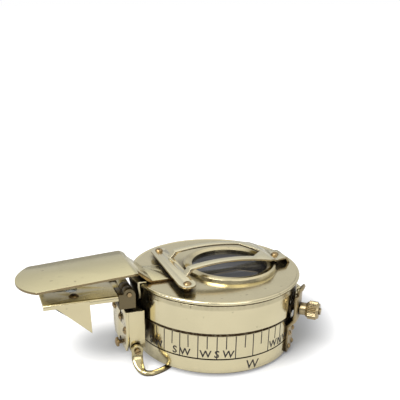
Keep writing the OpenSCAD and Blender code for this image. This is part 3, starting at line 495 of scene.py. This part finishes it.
def put_camera():
    """Places the camera where the photograph was taken from."""
    right, up, back = camera_axes()
    place = Vector((0, 0, EYE_LEVEL)) + CAMERA_AWAY * back
    data = bpy.data.cameras.new("Camera")
    data.lens = data.sensor_width * FOCAL_SHARE
    data.shift_x = 0.5 - CENTRE_PX[0] / PHOTO_PX
    data.shift_y = CENTRE_PX[1] / PHOTO_PX - 0.5
    data.clip_start = NEAREST
    camera = bpy.data.objects.new("Camera", data)
    bpy.context.scene.collection.objects.link(camera)
    rotation = Matrix((right, up, back)).transposed()
    camera.matrix_world = Matrix.Translation(place) @ rotation.to_4x4()
    bpy.context.scene.camera = camera


# How brightly the floor glows for the camera, through glass and in mirroring metal
SEEN_GLOW, THROUGH_GLOW, MIRRORED_GLOW = 0.45, 0.2, 0.31
FLOOR_TONE = (0.80, 0.80, 0.80, 1)
SHADED_TONE = (0.50, 0.51, 0.53, 1)
MIRRORED_TONE = (0.40, 0.40, 0.40, 1)
FLOOR_RADIUS = 6
FLOOR_SIDES = 96
# How far inside its wall the case touches the floor, where along X the ring does, and the gap under both
EDGE_INSET = 0.6 * MM
RING_REST = -38 * MM
FLOOR_GAP = 0.02 * MM
# Soft shades painted on the floor round the object, seen only by the camera: middle, where each starts to fade and
# ends, and its depth
PAINTED_SHADES = (
    (14 * MM, 12 * MM, 30 * MM, 58 * MM, 1.0),
    (-44 * MM, 14 * MM, 4 * MM, 24 * MM, 0.7),
)


def floor_material():
    """White floor that keeps the object's shadow, has soft shades painted round the object for the camera, and is
    clear from below.
    """
    s = Shader("Floor")
    x, y, z = s.axes()
    path = s.add("ShaderNodeLightPath")
    shade = x * 0 + 1
    # Painted shade: each soft ellipse darkens the floor
    for middle_x, middle_y, start, end, depth in PAINTED_SHADES:
        away = from_axis(s, x - middle_x, y - middle_y)
        shade = shade - (1 - away.smooth(start, end)) * depth
    direct = path["Is Camera Ray"]
    shade = (shade.clamp() - 1) * direct + 1
    tone = s.mix(shade, SHADED_TONE, FLOOR_TONE)
    tone = s.mix(path["Is Glossy Ray"], tone, MIRRORED_TONE)
    paint = s.add("ShaderNodeBsdfDiffuse", {}, [tone])[0]
    seen = direct * SEEN_GLOW * shade + path["Is Transmission Ray"] * THROUGH_GLOW
    seen = seen + path["Is Glossy Ray"] * MIRRORED_GLOW
    glow = s.add("ShaderNodeEmission", {}, {"Color": (1, 1, 1, 1), "Strength": seen})[0]
    lit = s.add("ShaderNodeAddShader", {}, [paint, glow])[0]
    clear = s.add("ShaderNodeBsdfTransparent", {}, [(1, 1, 1, 1)])[0]
    under = s.add("ShaderNodeNewGeometry")["Backfacing"]
    return s.finish(s.add("ShaderNodeMixShader", {}, [under, lit, clear])[0])


def put_floor():
    """The floor that the case's edge and the carrying ring's wire stand on."""
    ring_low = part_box("carrying_ring")[0]
    near = Vector((CASE_R - EDGE_INSET, 0, 0))
    far = Vector((RING_REST, 0, ring_low.z))
    slope = math.atan2(near.z - far.z, near.x - far.x)
    mesh = bpy.data.meshes.new("Floor")
    bm = bmesh.new()
    bmesh.ops.create_circle(bm, cap_ends=True, segments=FLOOR_SIDES, radius=FLOOR_RADIUS)
    bmesh.ops.rotate(bm, verts=bm.verts, matrix=Matrix.Rotation(-slope, 3, "Y"))
    bmesh.ops.translate(bm, verts=bm.verts, vec=near - Vector((0, 0, FLOOR_GAP)))
    bm.to_mesh(mesh)
    bm.free()
    floor = bpy.data.objects.new("Floor", mesh)
    bpy.context.scene.collection.objects.link(floor)
    mesh.materials.append(floor_material())


# Tone of the surroundings at each sine of the height above the horizon
SKY = ((0.0, 0.03), (0.04, 0.06), (0.13, 0.42), (0.45, 0.62), (0.8, 0.85))
# Tone of the far side's horizon, and where it starts and is full along Y
FAR_TONE = 0.52
FAR_SIDE = (0.25, 0.7)


def put_world():
    """Pale surroundings: white where the camera looks, a little dimmer behind what it mirrors."""
    world = bpy.data.worlds.new("Studio")
    bpy.context.scene.world = world
    world.use_nodes = True
    tree = world.node_tree
    tree.nodes.clear()
    out = tree.nodes.new("ShaderNodeOutputWorld")
    back = tree.nodes.new("ShaderNodeBackground")
    path = tree.nodes.new("ShaderNodeLightPath")
    place = tree.nodes.new("ShaderNodeTexCoord")
    parts = tree.nodes.new("ShaderNodeSeparateXYZ")
    ramp = tree.nodes.new("ShaderNodeValToRGB")
    pick = tree.nodes.new("ShaderNodeMix")
    pick.data_type = "RGBA"
    for spot, tone in SKY[1:-1]:
        ramp.color_ramp.elements.new(spot)
    for element, (spot, tone) in zip(ramp.color_ramp.elements, SKY):
        element.position = spot
        element.color = (tone, tone, tone, 1)
    tree.links.new(place.outputs["Generated"], parts.inputs[0])
    height = tree.nodes.new("ShaderNodeMath")
    height.operation = "ABSOLUTE"
    tree.links.new(parts.outputs[2], height.inputs[0])
    tree.links.new(height.outputs[0], ramp.inputs[0])
    tree.links.new(path.outputs["Is Camera Ray"], pick.inputs[MIX_AMOUNT])
    far = tree.nodes.new("ShaderNodeMapRange")
    far.interpolation_type = "SMOOTHSTEP"
    far.inputs["From Min"].default_value, far.inputs["From Max"].default_value = FAR_SIDE
    tree.links.new(parts.outputs[1], far.inputs["Value"])
    sides = tree.nodes.new("ShaderNodeMix")
    sides.data_type = "RGBA"
    sides.blend_type = "LIGHTEN"
    sides.inputs[MIX_SECOND].default_value = (FAR_TONE, FAR_TONE, FAR_TONE, 1)
    tree.links.new(far.outputs[0], sides.inputs[MIX_AMOUNT])
    tree.links.new(ramp.outputs[0], sides.inputs[MIX_FIRST])
    tree.links.new(sides.outputs[MIX_COLOUR], pick.inputs[MIX_FIRST])
    pick.inputs[MIX_SECOND].default_value = (1, 1, 1, 1)
    tree.links.new(pick.outputs[MIX_COLOUR], back.inputs["Color"])
    tree.links.new(back.outputs[0], out.inputs["Surface"])


def put_lamp(name, place, size, power):
    """A soft square lamp that faces the object."""
    data = bpy.data.lights.new(name, "AREA")
    data.shape = "SQUARE"
    data.size = size
    data.energy = power
    lamp = bpy.data.objects.new(name, data)
    lamp.location = place
    lamp.rotation_euler = (Vector(place) - Vector((0, 0, EYE_LEVEL))).to_track_quat("Z", "Y").to_euler()
    bpy.context.scene.collection.objects.link(lamp)


class SetStage(bpy.types.Operator):
    """Makes the floor, the surroundings, the lamps and the camera"""

    bl_idname = "compass.set_stage"
    bl_label = "Set the stage"

    def execute(self, context):
        put_floor()
        put_world()
        put_lamp("Key", (-0.52, -0.30, 0.7), 0.5, 4.5)
        put_lamp("Fill", (0.1, -0.9, 0.6), 0.7, 2.0)
        put_camera()
        context.scene.view_settings.view_transform = "Standard"
        return {"FINISHED"}


# Shapes

# Points nearer than this are one, and faces nearer in direction than this are one flat face
SAME_POINT = 0.0005 * MM
SAME_PLANE = math.radians(0.8)
# Degrees above which an edge stays sharp: on rounded pieces, and on cut and forged ones
ROUNDED_SHARP, CUT_SHARP = 50, 40


def make_piece(name, mesh, finish_name, body):
    """Adds a mesh as a piece that moves with a CAD body."""
    obj = bpy.data.objects.new(name, mesh)
    bpy.context.scene.collection.objects.link(obj)
    wear(obj, finish_name)
    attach(obj, body)
    return obj


def baked(obj):
    """The mesh of an object with its modifiers applied."""
    graph = bpy.context.evaluated_depsgraph_get()
    return bpy.data.meshes.new_from_object(obj.evaluated_get(graph), depsgraph=graph)


def finish_of(node):
    """The finish that a CAD node wears."""
    return next(name for name, nodes in NODE_FINISH.items() if node in nodes.split())


def body_of(node):
    """The CAD body that a node belongs to."""
    return next(name for name, nodes in FRAME["record"]["behaviour"]["bodies"].items() if node in nodes)


def copied(node):
    """A copy of a CAD node's mesh with its doubled points merged and its flat faces joined."""
    mesh = NODES[node].data.copy()
    bm = bmesh.new()
    bm.from_mesh(mesh)
    bmesh.ops.remove_doubles(bm, verts=bm.verts, dist=SAME_POINT)
    bmesh.ops.dissolve_limit(bm, angle_limit=SAME_PLANE, verts=bm.verts, edges=bm.edges)
    bmesh.ops.recalc_face_normals(bm, faces=bm.faces)
    bm.to_mesh(mesh)
    bm.free()
    return mesh


def smooth_by_angle(mesh, degrees):
    """Smooth shading with the edges sharper than the angle kept sharp."""
    mesh.shade_smooth()
    mesh.set_sharp_from_angle(angle=math.radians(degrees))


# Widths of the rounded edges, and the angle from which an edge is rounded
SOFTENED = {
    "thumb_paddle": 0.30 * MM, "sight_frame": 0.22 * MM, "prism_holder": 0.18 * MM, "guide_plate": 0.18 * MM,
    "prism_bracket": 0.22 * MM, "focus_slide": 0.4 * MM, "lid_catch": 0.18 * MM, "clamp_strap": 0.2 * MM,
}
ROUNDED_FROM = math.radians(35)


class SoftenEdges(bpy.types.Operator):
    """Gives the flat metal pieces real rounded edges"""

    bl_idname = "compass.soften_edges"
    bl_label = "Soften the edges"

    def execute(self, context):
        for node, width in SOFTENED.items():
            piece = bpy.data.objects.new("soft", copied(node))
            context.scene.collection.objects.link(piece)
            rounding = piece.modifiers.new("Rounding", "BEVEL")
            rounding.width = width
            rounding.segments = 2
            rounding.limit_method = "ANGLE"
            rounding.angle_limit = ROUNDED_FROM
            rounding.use_clamp_overlap = True
            rounding.miter_outer = "MITER_ARC"
            mesh = baked(piece)
            bpy.data.objects.remove(piece)
            smooth_by_angle(mesh, ROUNDED_SHARP)
            obj = make_piece(f"{node}_rounded", mesh, finish_of(node), body_of(node))
            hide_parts(node)
        return {"FINISHED"}


# Carrying ring

BAR_SIDES = 24
EYE_SIDES = 48
LEG_STEPS = 6
BOW_STEPS = 48
# The ring's leg in millimetres: place, width along the case, thickness and squareness
LEG = (
    ((-38.0, 13.0, 5.4), 4.3, 1.6, 4.0),
    ((-38.0, 13.1, 3.8), 4.5, 1.6, 4.0),
    ((-38.1, 13.9, 2.0), 4.5, 1.7, 3.6),
    ((-38.0, 15.8, 0.3), 4.0, 1.9, 3.0),
    ((-37.5, 18.0, -0.9), 3.1, 2.1, 2.4),
    ((-36.3, 19.8, -1.35), 2.5, 2.3, 2.0),
    ((-33.9, 20.6, -1.4), 2.3, 2.3, 2.0),
)
BOW_RADIUS = 21 * MM
BOW_MIDDLE = Vector((-38, 0, -1.4)) * MM
# The eye's radius, its bore's radius, and where it starts and ends along Y
EYE = (2.4 * MM, 1.1 * MM, 12.2 * MM, 13.8 * MM)
PIVOT = Vector((-38, 0, 5.8)) * MM


def swept(spots, start_side):
    """A closed bar along a path, whose spots hold a place, its two widths and its squareness."""
    bm = bmesh.new()
    side = start_side.normalized()
    rings = []
    for n, (place, wide, thick, square) in enumerate(spots):
        ahead = (spots[min(n + 1, len(spots) - 1)][0] - spots[max(n - 1, 0)][0]).normalized()
        side = (side - side.dot(ahead) * ahead).normalized()
        other = ahead.cross(side)
        ring = []
        for k in range(BAR_SIDES):
            c, w = math.cos(TAU * k / BAR_SIDES), math.sin(TAU * k / BAR_SIDES)
            grow = (abs(c) ** square + abs(w) ** square) ** (-1 / square)
            ring.append(bm.verts.new(place + grow * (c * wide / 2 * side + w * thick / 2 * other)))
        rings.append(ring)
    for first, second in zip(rings, rings[1:]):
        for k in range(BAR_SIDES):
            m = (k + 1) % BAR_SIDES
            bm.faces.new((first[k], first[m], second[m], second[k]))
    bm.faces.new(reversed(rings[0]))
    bm.faces.new(rings[-1])
    bmesh.ops.recalc_face_normals(bm, faces=bm.faces)
    return bm


def through(values, t):
    """A value at a share t of the way between the middle two of four numbers, on a smooth curve through all."""
    a, b, c, d = values
    return 0.5 * (2 * b + (c - a) * t + (2 * a - 5 * b + 4 * c - d) * t * t + (3 * b - a - 3 * c + d) * t ** 3)


def ring_spots():
    """The whole ring from one eye round to the other."""
    rows = [(*place, wide, thick, square) for place, wide, thick, square in LEG]
    leg = []
    for n in range(len(rows) - 1):
        four = [rows[max(n - 1, 0)], rows[n], rows[n + 1], rows[min(n + 2, len(rows) - 1)]]
        for k in range(LEG_STEPS):
            leg.append([through(column, k / LEG_STEPS) for column in zip(*four)])
    leg = [(Vector(row[:3]) * MM, row[3] * MM, row[4] * MM, row[5]) for row in leg]
    start = math.asin(LEG[-1][0][1] * MM / BOW_RADIUS)
    bow = []
    for k in range(BOW_STEPS + 1):
        angle = start * (1 - 2 * k / BOW_STEPS)
        place = BOW_MIDDLE + BOW_RADIUS * Vector((math.cos(angle), math.sin(angle), 0))
        bow.append((place, LEG[-1][1] * MM, LEG[-1][2] * MM, 2.0))
    other = [(Vector((p.x, -p.y, p.z)), wide, thick, square) for p, wide, thick, square in reversed(leg)]
    return leg + bow + other


def round_bar(radius, low, high):
    """A cylinder along Y at the ring's pivot."""
    bm = bmesh.new()
    bmesh.ops.create_cone(
        bm, cap_ends=True, segments=EYE_SIDES, radius1=radius, radius2=radius, depth=high - low)
    bm.transform(Matrix.Translation(PIVOT + Vector((0, (low + high) / 2, 0))) @ Matrix.Rotation(TAU / 4, 4, "X"))
    return bm


def as_object(bm, name):
    """An object that holds a bmesh, which is freed."""
    mesh = bpy.data.meshes.new(name)
    bm.to_mesh(mesh)
    bm.free()
    obj = bpy.data.objects.new(name, mesh)
    bpy.context.scene.collection.objects.link(obj)
    return obj


def combined(first, others, kind):
    """The first object's mesh joined with or cut by the others, which are removed."""
    for other in others:
        step = first.modifiers.new("Step", "BOOLEAN")
        step.object = other
        step.operation = kind
        step.solver = "EXACT"
    mesh = baked(first)
    for done in (first, *others):
        bpy.data.objects.remove(done)
    return mesh


class ForgeRing(bpy.types.Operator):
    """Makes the carrying ring with flat forged legs that run out into its round bow"""

    bl_idname = "compass.forge_ring"
    bl_label = "Forge the carrying ring"

    def execute(self, context):
        radius, bore, low, high = EYE
        bar = as_object(swept(ring_spots(), Vector((1, 0, 0))), "bar")
        eyes = [as_object(round_bar(radius, *ends), "eye") for ends in ((-high, -low), (low, high))]
        solid = bpy.data.objects.new("solid", combined(bar, eyes, "UNION"))
        context.scene.collection.objects.link(solid)
        mesh = combined(solid, [as_object(round_bar(bore, -high - MM, high + MM), "bore")], "DIFFERENCE")
        smooth_by_angle(mesh, CUT_SHARP)
        obj = make_piece("carrying_ring_forged", mesh, finish_of("carrying_ring"), body_of("carrying_ring"))
        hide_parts("carrying_ring")
        return {"FINISHED"}


# Screws

# Direction of each node's heads (R is outward from the case) and the width of their slots in millimetres
SCREW_NODES = {
    "guide_screws": ("X", 0.42), "frame_screws": ("Z", 0.42), "prism_screws": ("Z", 0.5), "focus_stud": ("X", 0.42),
    "strap_screws": ("R", 0.32), "ring_pins": ("Y", 0.36),
}
# How deep a head reaches, the size of the box that cuts its slot, and the turn from one slot to the next
HEAD_DEPTH = 0.9 * MM
SLOT_LENGTH = 8 * MM
SLOT_CUTTER = 1 * MM
FIRST_TURN, SLOT_TURN = 0.5, 2.1


def loose_parts(mesh):
    """The corners of every separate solid in a mesh, in the mesh's own order."""
    bm = bmesh.new()
    bm.from_mesh(mesh)
    bmesh.ops.remove_doubles(bm, verts=bm.verts, dist=SAME_POINT)
    bm.verts.index_update()
    seen = set()
    parts = []
    for start in bm.verts:
        if start.index in seen:
            continue
        seen.add(start.index)
        group, front = [start], [start]
        while front:
            for edge in front.pop().link_edges:
                for other in edge.verts:
                    if other.index not in seen:
                        seen.add(other.index)
                        group.append(other)
                        front.append(other)
        parts.append([v.co.copy() for v in group])
    bm.free()
    return parts


def slot_cutter(spots, way, width, turn):
    """A box that cuts the slot into one screw's head, whose outward direction is way."""
    far = max(spots, key=lambda p: p.dot(way))
    depth = far.dot(way)
    head = [p for p in spots if p.dot(way) > depth - HEAD_DEPTH]
    middle = sum(head, Vector()) / len(head)
    middle += (depth - middle.dot(way)) * way
    side = way.orthogonal().normalized()
    side.rotate(Matrix.Rotation(turn, 3, way))
    across = way.cross(side)
    bm = bmesh.new()
    bmesh.ops.create_cube(bm, size=1)
    bm.transform(Matrix.Translation(middle) @ Matrix((side, across, way)).transposed().to_4x4()
                 @ Matrix.Diagonal((SLOT_LENGTH, width, SLOT_CUTTER, 1)))
    return bm


class SlotScrews(bpy.types.Operator):
    """Cuts a driver's slot into every screw's head"""

    bl_idname = "compass.slot_screws"
    bl_label = "Slot the screws"

    def execute(self, context):
        turn = FIRST_TURN
        for node, (kind, width_mm) in SCREW_NODES.items():
            piece = bpy.data.objects.new("screw", copied(node))
            context.scene.collection.objects.link(piece)
            whole = bmesh.new()
            for spots in loose_parts(NODES[node].data):
                middle = sum(spots, Vector()) / len(spots)
                ways = {"X": Vector((-1, 0, 0)), "Z": Vector((0, 0, 1)),
                        "Y": Vector((0, math.copysign(1, middle.y), 0)),
                        "R": Vector((middle.x, middle.y, 0)).normalized()}
                turn += SLOT_TURN
                part = slot_cutter(spots, ways[kind], width_mm * MM, turn)
                mesh = bpy.data.meshes.new("cut")
                part.to_mesh(mesh)
                part.free()
                whole.from_mesh(mesh)
                bpy.data.meshes.remove(mesh)
            mesh = combined(piece, [as_object(whole, "cuts")], "DIFFERENCE")
            smooth_by_angle(mesh, CUT_SHARP)
            obj = make_piece(f"{node}_slotted", mesh, finish_of(node), body_of(node))
            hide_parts(node)
        return {"FINISHED"}


# Engraved scale and printed card

# Height of a capital as a share of the font's size
CAPITAL_SHARE = 0.7
# How far the ticks lean at random
TICK_LEAN, TICK_SEED = 0.02, 5


def text_mesh(text, height, bold=0.0):
    """A flat mesh of a text, centred, with capitals of the given height and strokes made bolder."""
    curve = bpy.data.curves.new("text", "FONT")
    curve.body = text
    curve.align_x = "CENTER"
    curve.align_y = "CENTER"
    curve.size = height / CAPITAL_SHARE
    curve.resolution_u = 3
    curve.offset = bold
    holder = bpy.data.objects.new("text", curve)
    bpy.context.scene.collection.objects.link(holder)
    mesh = baked(holder)
    bpy.data.objects.remove(holder)
    bpy.data.curves.remove(curve)
    return mesh


def join_meshes(name, meshes):
    """One mesh from several, which are removed."""
    bm = bmesh.new()
    for mesh in meshes:
        bm.from_mesh(mesh)
        bpy.data.meshes.remove(mesh)
    whole = bpy.data.meshes.new(name)
    bm.to_mesh(whole)
    bm.free()
    return whole


def bend_round(mesh, radius, angle, height):
    """Lays a flat mesh round an upright cylinder, centred on an angle and a height."""
    for v in mesh.vertices:
        turn = angle + v.co.x / radius
        v.co = Vector((radius * math.cos(turn), radius * math.sin(turn), height + v.co.y))
    return mesh


def lay_flat(mesh, radius, angle, height):
    """Lays a flat mesh on a level disc, its foot towards the middle, at a radius and an angle."""
    turn = Matrix.Rotation(angle - math.pi / 2, 4, "Z")
    mesh.transform(Matrix.Translation((0, 0, height)) @ turn @ Matrix.Translation((0, radius, 0)))
    return mesh


def socket_id(tree, name):
    """The identifier of a node group's input."""
    return next(i.identifier for i in tree.interface.items_tree if i.name == name and i.in_out == "INPUT")


def ring_tree(name):
    """Nodes that set one small box at each step round a circle, every second one of another length."""
    tree = bpy.data.node_groups.new(name, "GeometryNodeTree")
    face = tree.interface
    face.new_socket("Geometry", in_out="OUTPUT", socket_type="NodeSocketGeometry")
    kinds = {
        "Count": "NodeSocketInt", "Radius": "NodeSocketFloat", "Turn": "NodeSocketFloat",
        "Short size": "NodeSocketVector", "Long size": "NodeSocketVector", "Short drop": "NodeSocketVector",
        "Long drop": "NodeSocketVector", "Long every": "NodeSocketInt", "Material": "NodeSocketMaterial",
    }
    for key, kind in kinds.items():
        face.new_socket(key, in_out="INPUT", socket_type=kind)
    nodes, links = tree.nodes, tree.links
    source = nodes.new("NodeGroupInput")
    sink = nodes.new("NodeGroupOutput")

    def node(kind, settings=None, **wires):
        made = nodes.new(kind)
        for key, value in (settings or {}).items():
            setattr(made, key, value)
        for key, wire in wires.items():
            links.new(wire, made.inputs[int(key[1:])])
        return made

    circle = node(
        "GeometryNodeMeshCircle", {"fill_type": "NONE"}, _0=source.outputs["Count"], _1=source.outputs["Radius"])
    index = node("GeometryNodeInputIndex").outputs[0]
    left = node("ShaderNodeMath", {"operation": "MODULO"}, _0=index, _1=source.outputs["Long every"]).outputs[0]
    is_long = node("FunctionNodeCompare", {"data_type": "FLOAT", "operation": "LESS_THAN"}, _0=left)
    is_long.inputs[1].default_value = 0.5
    step = node("ShaderNodeMath", {"operation": "DIVIDE"}, _1=source.outputs["Count"])
    step.inputs[0].default_value = TAU
    turned = node("ShaderNodeMath", {"operation": "MULTIPLY"}, _0=index, _1=step.outputs[0]).outputs[0]
    tilt = nodes.new("FunctionNodeRandomValue")
    tilt.data_type = "FLOAT"
    for key, value in zip(("Min", "Max", "Seed"), (-TICK_LEAN, TICK_LEAN, TICK_SEED)):
        next(i for i in tilt.inputs if i.name == key and i.enabled).default_value = value
    leaning = next(o for o in tilt.outputs if o.enabled)
    spin = node("ShaderNodeCombineXYZ", None, _0=leaning, _2=turned).outputs[0]
    whole = node("GeometryNodeJoinGeometry")
    for word in ("Short", "Long"):
        box = node("GeometryNodeMeshCube", None, _0=source.outputs[f"{word} size"])
        moved = node("GeometryNodeTransform", None, _0=box.outputs[0])
        links.new(source.outputs[f"{word} drop"], moved.inputs["Translation"])
        stand = node("GeometryNodeInstanceOnPoints", None, _0=circle.outputs[0], _2=moved.outputs[0])
        links.new(spin, stand.inputs["Rotation"])
        if word == "Long":
            links.new(is_long.outputs[0], stand.inputs["Selection"])
        else:
            other = node("FunctionNodeBooleanMath", {"operation": "NOT"}, _0=is_long.outputs[0])
            links.new(other.outputs[0], stand.inputs["Selection"])
        links.new(stand.outputs[0], whole.inputs[0])
    real = node("GeometryNodeRealizeInstances", None, _0=whole.outputs[0])
    facing = node("ShaderNodeCombineXYZ", None, _2=source.outputs["Turn"]).outputs[0]
    placed = node("GeometryNodeTransform", None, _0=real.outputs[0])
    links.new(facing, placed.inputs["Rotation"])
    coated = node("GeometryNodeSetMaterial", None, _0=placed.outputs[0])
    links.new(source.outputs["Material"], coated.inputs["Material"])
    links.new(coated.outputs[0], sink.inputs[0])
    return tree


def ring_marks(name, body, values):
    """Bakes a ring of marks into one mesh that moves with a body."""
    tree = bpy.data.node_groups.get("Ring of marks") or ring_tree("Ring of marks")
    holder = bpy.data.objects.new("marks", bpy.data.meshes.new("marks"))
    bpy.context.scene.collection.objects.link(holder)
    rule = holder.modifiers.new("Marks", "NODES")
    rule.node_group = tree
    for key, value in values.items():
        rule[socket_id(tree, key)] = value
    rule[socket_id(tree, "Material")] = finish("ink")
    mesh = baked(holder)
    bpy.data.objects.remove(holder)
    return make_piece(name, mesh, "ink", body)


class ScaleSettings(bpy.types.PropertyGroup):
    """Sizes of the scale engraved round the case."""

    ticks: bpy.props.IntProperty(name="Ticks", description="Ticks round the case", default=56, min=8)
    top: bpy.props.FloatProperty(
        name="Top", description="Height of the ticks' upper ends", default=16.7 * MM, unit="LENGTH")
    short_end: bpy.props.FloatProperty(
        name="Short end", description="Height where the short ticks end", default=11.3 * MM, unit="LENGTH")
    long_end: bpy.props.FloatProperty(
        name="Long end", description="Height where the long ticks end", default=6.8 * MM, unit="LENGTH")
    width: bpy.props.FloatProperty(
        name="Width", description="Width of a tick", default=0.40 * MM, unit="LENGTH")
    letter: bpy.props.FloatProperty(
        name="Letter", description="Height of the small letters", default=3.1 * MM, unit="LENGTH")
    first_angle: bpy.props.FloatProperty(
        name="First angle", description="Place of the south-west mark", default=math.radians(-134.6), subtype="ANGLE")


# Compass points in their order round the case, the sizes of their letters, and how unevenly they are struck
BIG_LETTER, BIG_BOLD, BIG_LEVEL = 3.9 * MM, 0.02 * MM, 3.0 * MM
SMALL_BOLD, LETTER_FOOT, LETTER_PITCH = 0.07 * MM, 0.6 * MM, 1.45
LETTER_LEAN, LETTER_RISE_MM, LETTER_SEED = 0.09, 0.15, 7
# How far the ticks and the letters stand proud of the case, and how deep a tick's box goes
TICK_PROUD, LETTER_PROUD, TICK_DEPTH = 0.03 * MM, 0.05 * MM, 0.2 * MM
POINTS = ["SW", "WSW", "W", "WNW", "N", "NNE", "NE", "ENE", "E", "ESE", "SE", "SSE", "S", "SSW"]


class EngraveScale(bpy.types.Operator):
    """Engraves the ticks and the compass points round the case"""

    bl_idname = "compass.engrave_scale"
    bl_label = "Engrave the scale"

    def execute(self, context):
        sizes = context.scene.compass_scale

        def box(end):
            return (TICK_DEPTH, sizes.width, sizes.top - end)

        def drop(end):
            return (TICK_PROUD - TICK_DEPTH / 2, 0, (sizes.top + end) / 2)

        ring_marks("scale_ticks", "case", {
            "Count": sizes.ticks, "Radius": CASE_R, "Turn": sizes.first_angle, "Long every": 2,
            "Short size": box(sizes.short_end), "Long size": box(sizes.long_end),
            "Short drop": drop(sizes.short_end), "Long drop": drop(sizes.long_end),
        })
        radius = CASE_R + LETTER_PROUD
        hand = random.Random(LETTER_SEED)
        letters = []
        for i, word in enumerate(POINTS):
            middle = sizes.first_angle + i * TAU / len(POINTS)
            big = len(word) == 1
            tall = BIG_LETTER if big else sizes.letter
            bold = BIG_BOLD if big else SMALL_BOLD
            level = BIG_LEVEL if big else sizes.long_end + LETTER_FOOT + tall / 2
            pitch = LETTER_PITCH * tall
            for k, letter in enumerate(word):
                away = (k - (len(word) - 1) / 2) * pitch / radius
                struck = text_mesh(letter, tall, bold)
                struck.transform(Matrix.Rotation(hand.uniform(-LETTER_LEAN, LETTER_LEAN), 4, "Z"))
                rise = level + hand.uniform(-LETTER_RISE_MM, LETTER_RISE_MM) * MM
                letters.append(bend_round(struck, radius, middle + away, rise))
        make_piece("scale_letters", join_meshes("scale_letters", letters), "ink", "case")
        return {"FINISHED"}


# Thickness of the card's print
FILM = 0.03 * MM
CARD_POINTS = ["N", "NE", "E", "SE", "S", "SW", "W", "NW"]
NUMBERS = 36
NUMBER_HEIGHT, MAIN_POINT_HEIGHT, POINT_HEIGHT = 1.7 * MM, 2.6 * MM, 1.8 * MM
SHORT_WIDTH, LONG_WIDTH = 0.12 * MM, 0.2 * MM
# Rings of ticks: how many, every how many a long one, place as a share of the card's radius, and both lengths
CARD_TICKS = {
    "card_ticks_outer": (180, 5, 0.985, 0.9 * MM, 1.6 * MM),
    "card_ticks_inner": (120, 10, 0.70, 0.7 * MM, 1.3 * MM),
}
# Places of the numbers and of the letters as shares of the card's radius
NUMBER_PLACE, POINT_PLACE = 0.87, 0.52


class PrintCard(bpy.types.Operator):
    """Prints the ticks, the numbers and the letters of the card"""

    bl_idname = "compass.print_card"
    bl_label = "Print the card"

    def execute(self, context):
        level = CARD_TOP + FILM / 2
        for name, (count, every, share, short, long) in CARD_TICKS.items():
            ring_marks(name, "card", {
                "Count": count, "Radius": CARD_R * share, "Turn": 0.0, "Long every": every,
                "Short size": (short, SHORT_WIDTH, FILM), "Long size": (long, LONG_WIDTH, FILM),
                "Short drop": (-short / 2, 0, level), "Long drop": (-long / 2, 0, level),
            })
        words = []
        for i in range(NUMBERS):
            angle = math.radians(90 - 360 / NUMBERS * i)
            number = text_mesh(str(i), NUMBER_HEIGHT)
            words.append(lay_flat(number, CARD_R * NUMBER_PLACE, angle, CARD_TOP + FILM))
        for i, word in enumerate(CARD_POINTS):
            angle = math.radians(90 - 360 / len(CARD_POINTS) * i)
            tall = MAIN_POINT_HEIGHT if len(word) == 1 else POINT_HEIGHT
            words.append(lay_flat(text_mesh(word, tall), CARD_R * POINT_PLACE, angle, CARD_TOP + FILM))
        make_piece("card_numbers", join_meshes("card_numbers", words), "ink", "card")
        return {"FINISHED"}


class COMPASS_PT_panel(bpy.types.Panel):
    """Compass tools in the sidebar"""

    bl_idname = "COMPASS_PT_panel"
    bl_label = "Prismatic compass"
    bl_space_type = "VIEW_3D"
    bl_region_type = "UI"
    bl_category = "Compass"

    def draw(self, context):
        column = self.layout.column()
        sizes = context.scene.compass_scale
        for name in sizes.__annotations__:
            column.prop(sizes, name)
        for cls in STEPS:
            column.operator(cls.bl_idname)


STEPS = [FinishNodes, SoftenEdges, ForgeRing, SlotScrews, EngraveScale, PrintCard, SetStage]
CLASSES = [ScaleSettings, *STEPS, COMPASS_PT_panel]


def register():
    for cls in CLASSES:
        bpy.utils.register_class(cls)
    bpy.types.Scene.compass_scale = bpy.props.PointerProperty(type=ScaleSettings)


def unregister():
    del bpy.types.Scene.compass_scale
    for cls in reversed(CLASSES):
        bpy.utils.unregister_class(cls)


def main():
    """Makes everything in order."""
    register()
    bpy.ops.compass.finish_nodes()
    bpy.ops.compass.soften_edges()
    bpy.ops.compass.forge_ring()
    bpy.ops.compass.slot_screws()
    bpy.ops.compass.engrave_scale()
    bpy.ops.compass.print_card()
    bpy.ops.compass.set_stage()


if __name__ == "__main__":
    main()
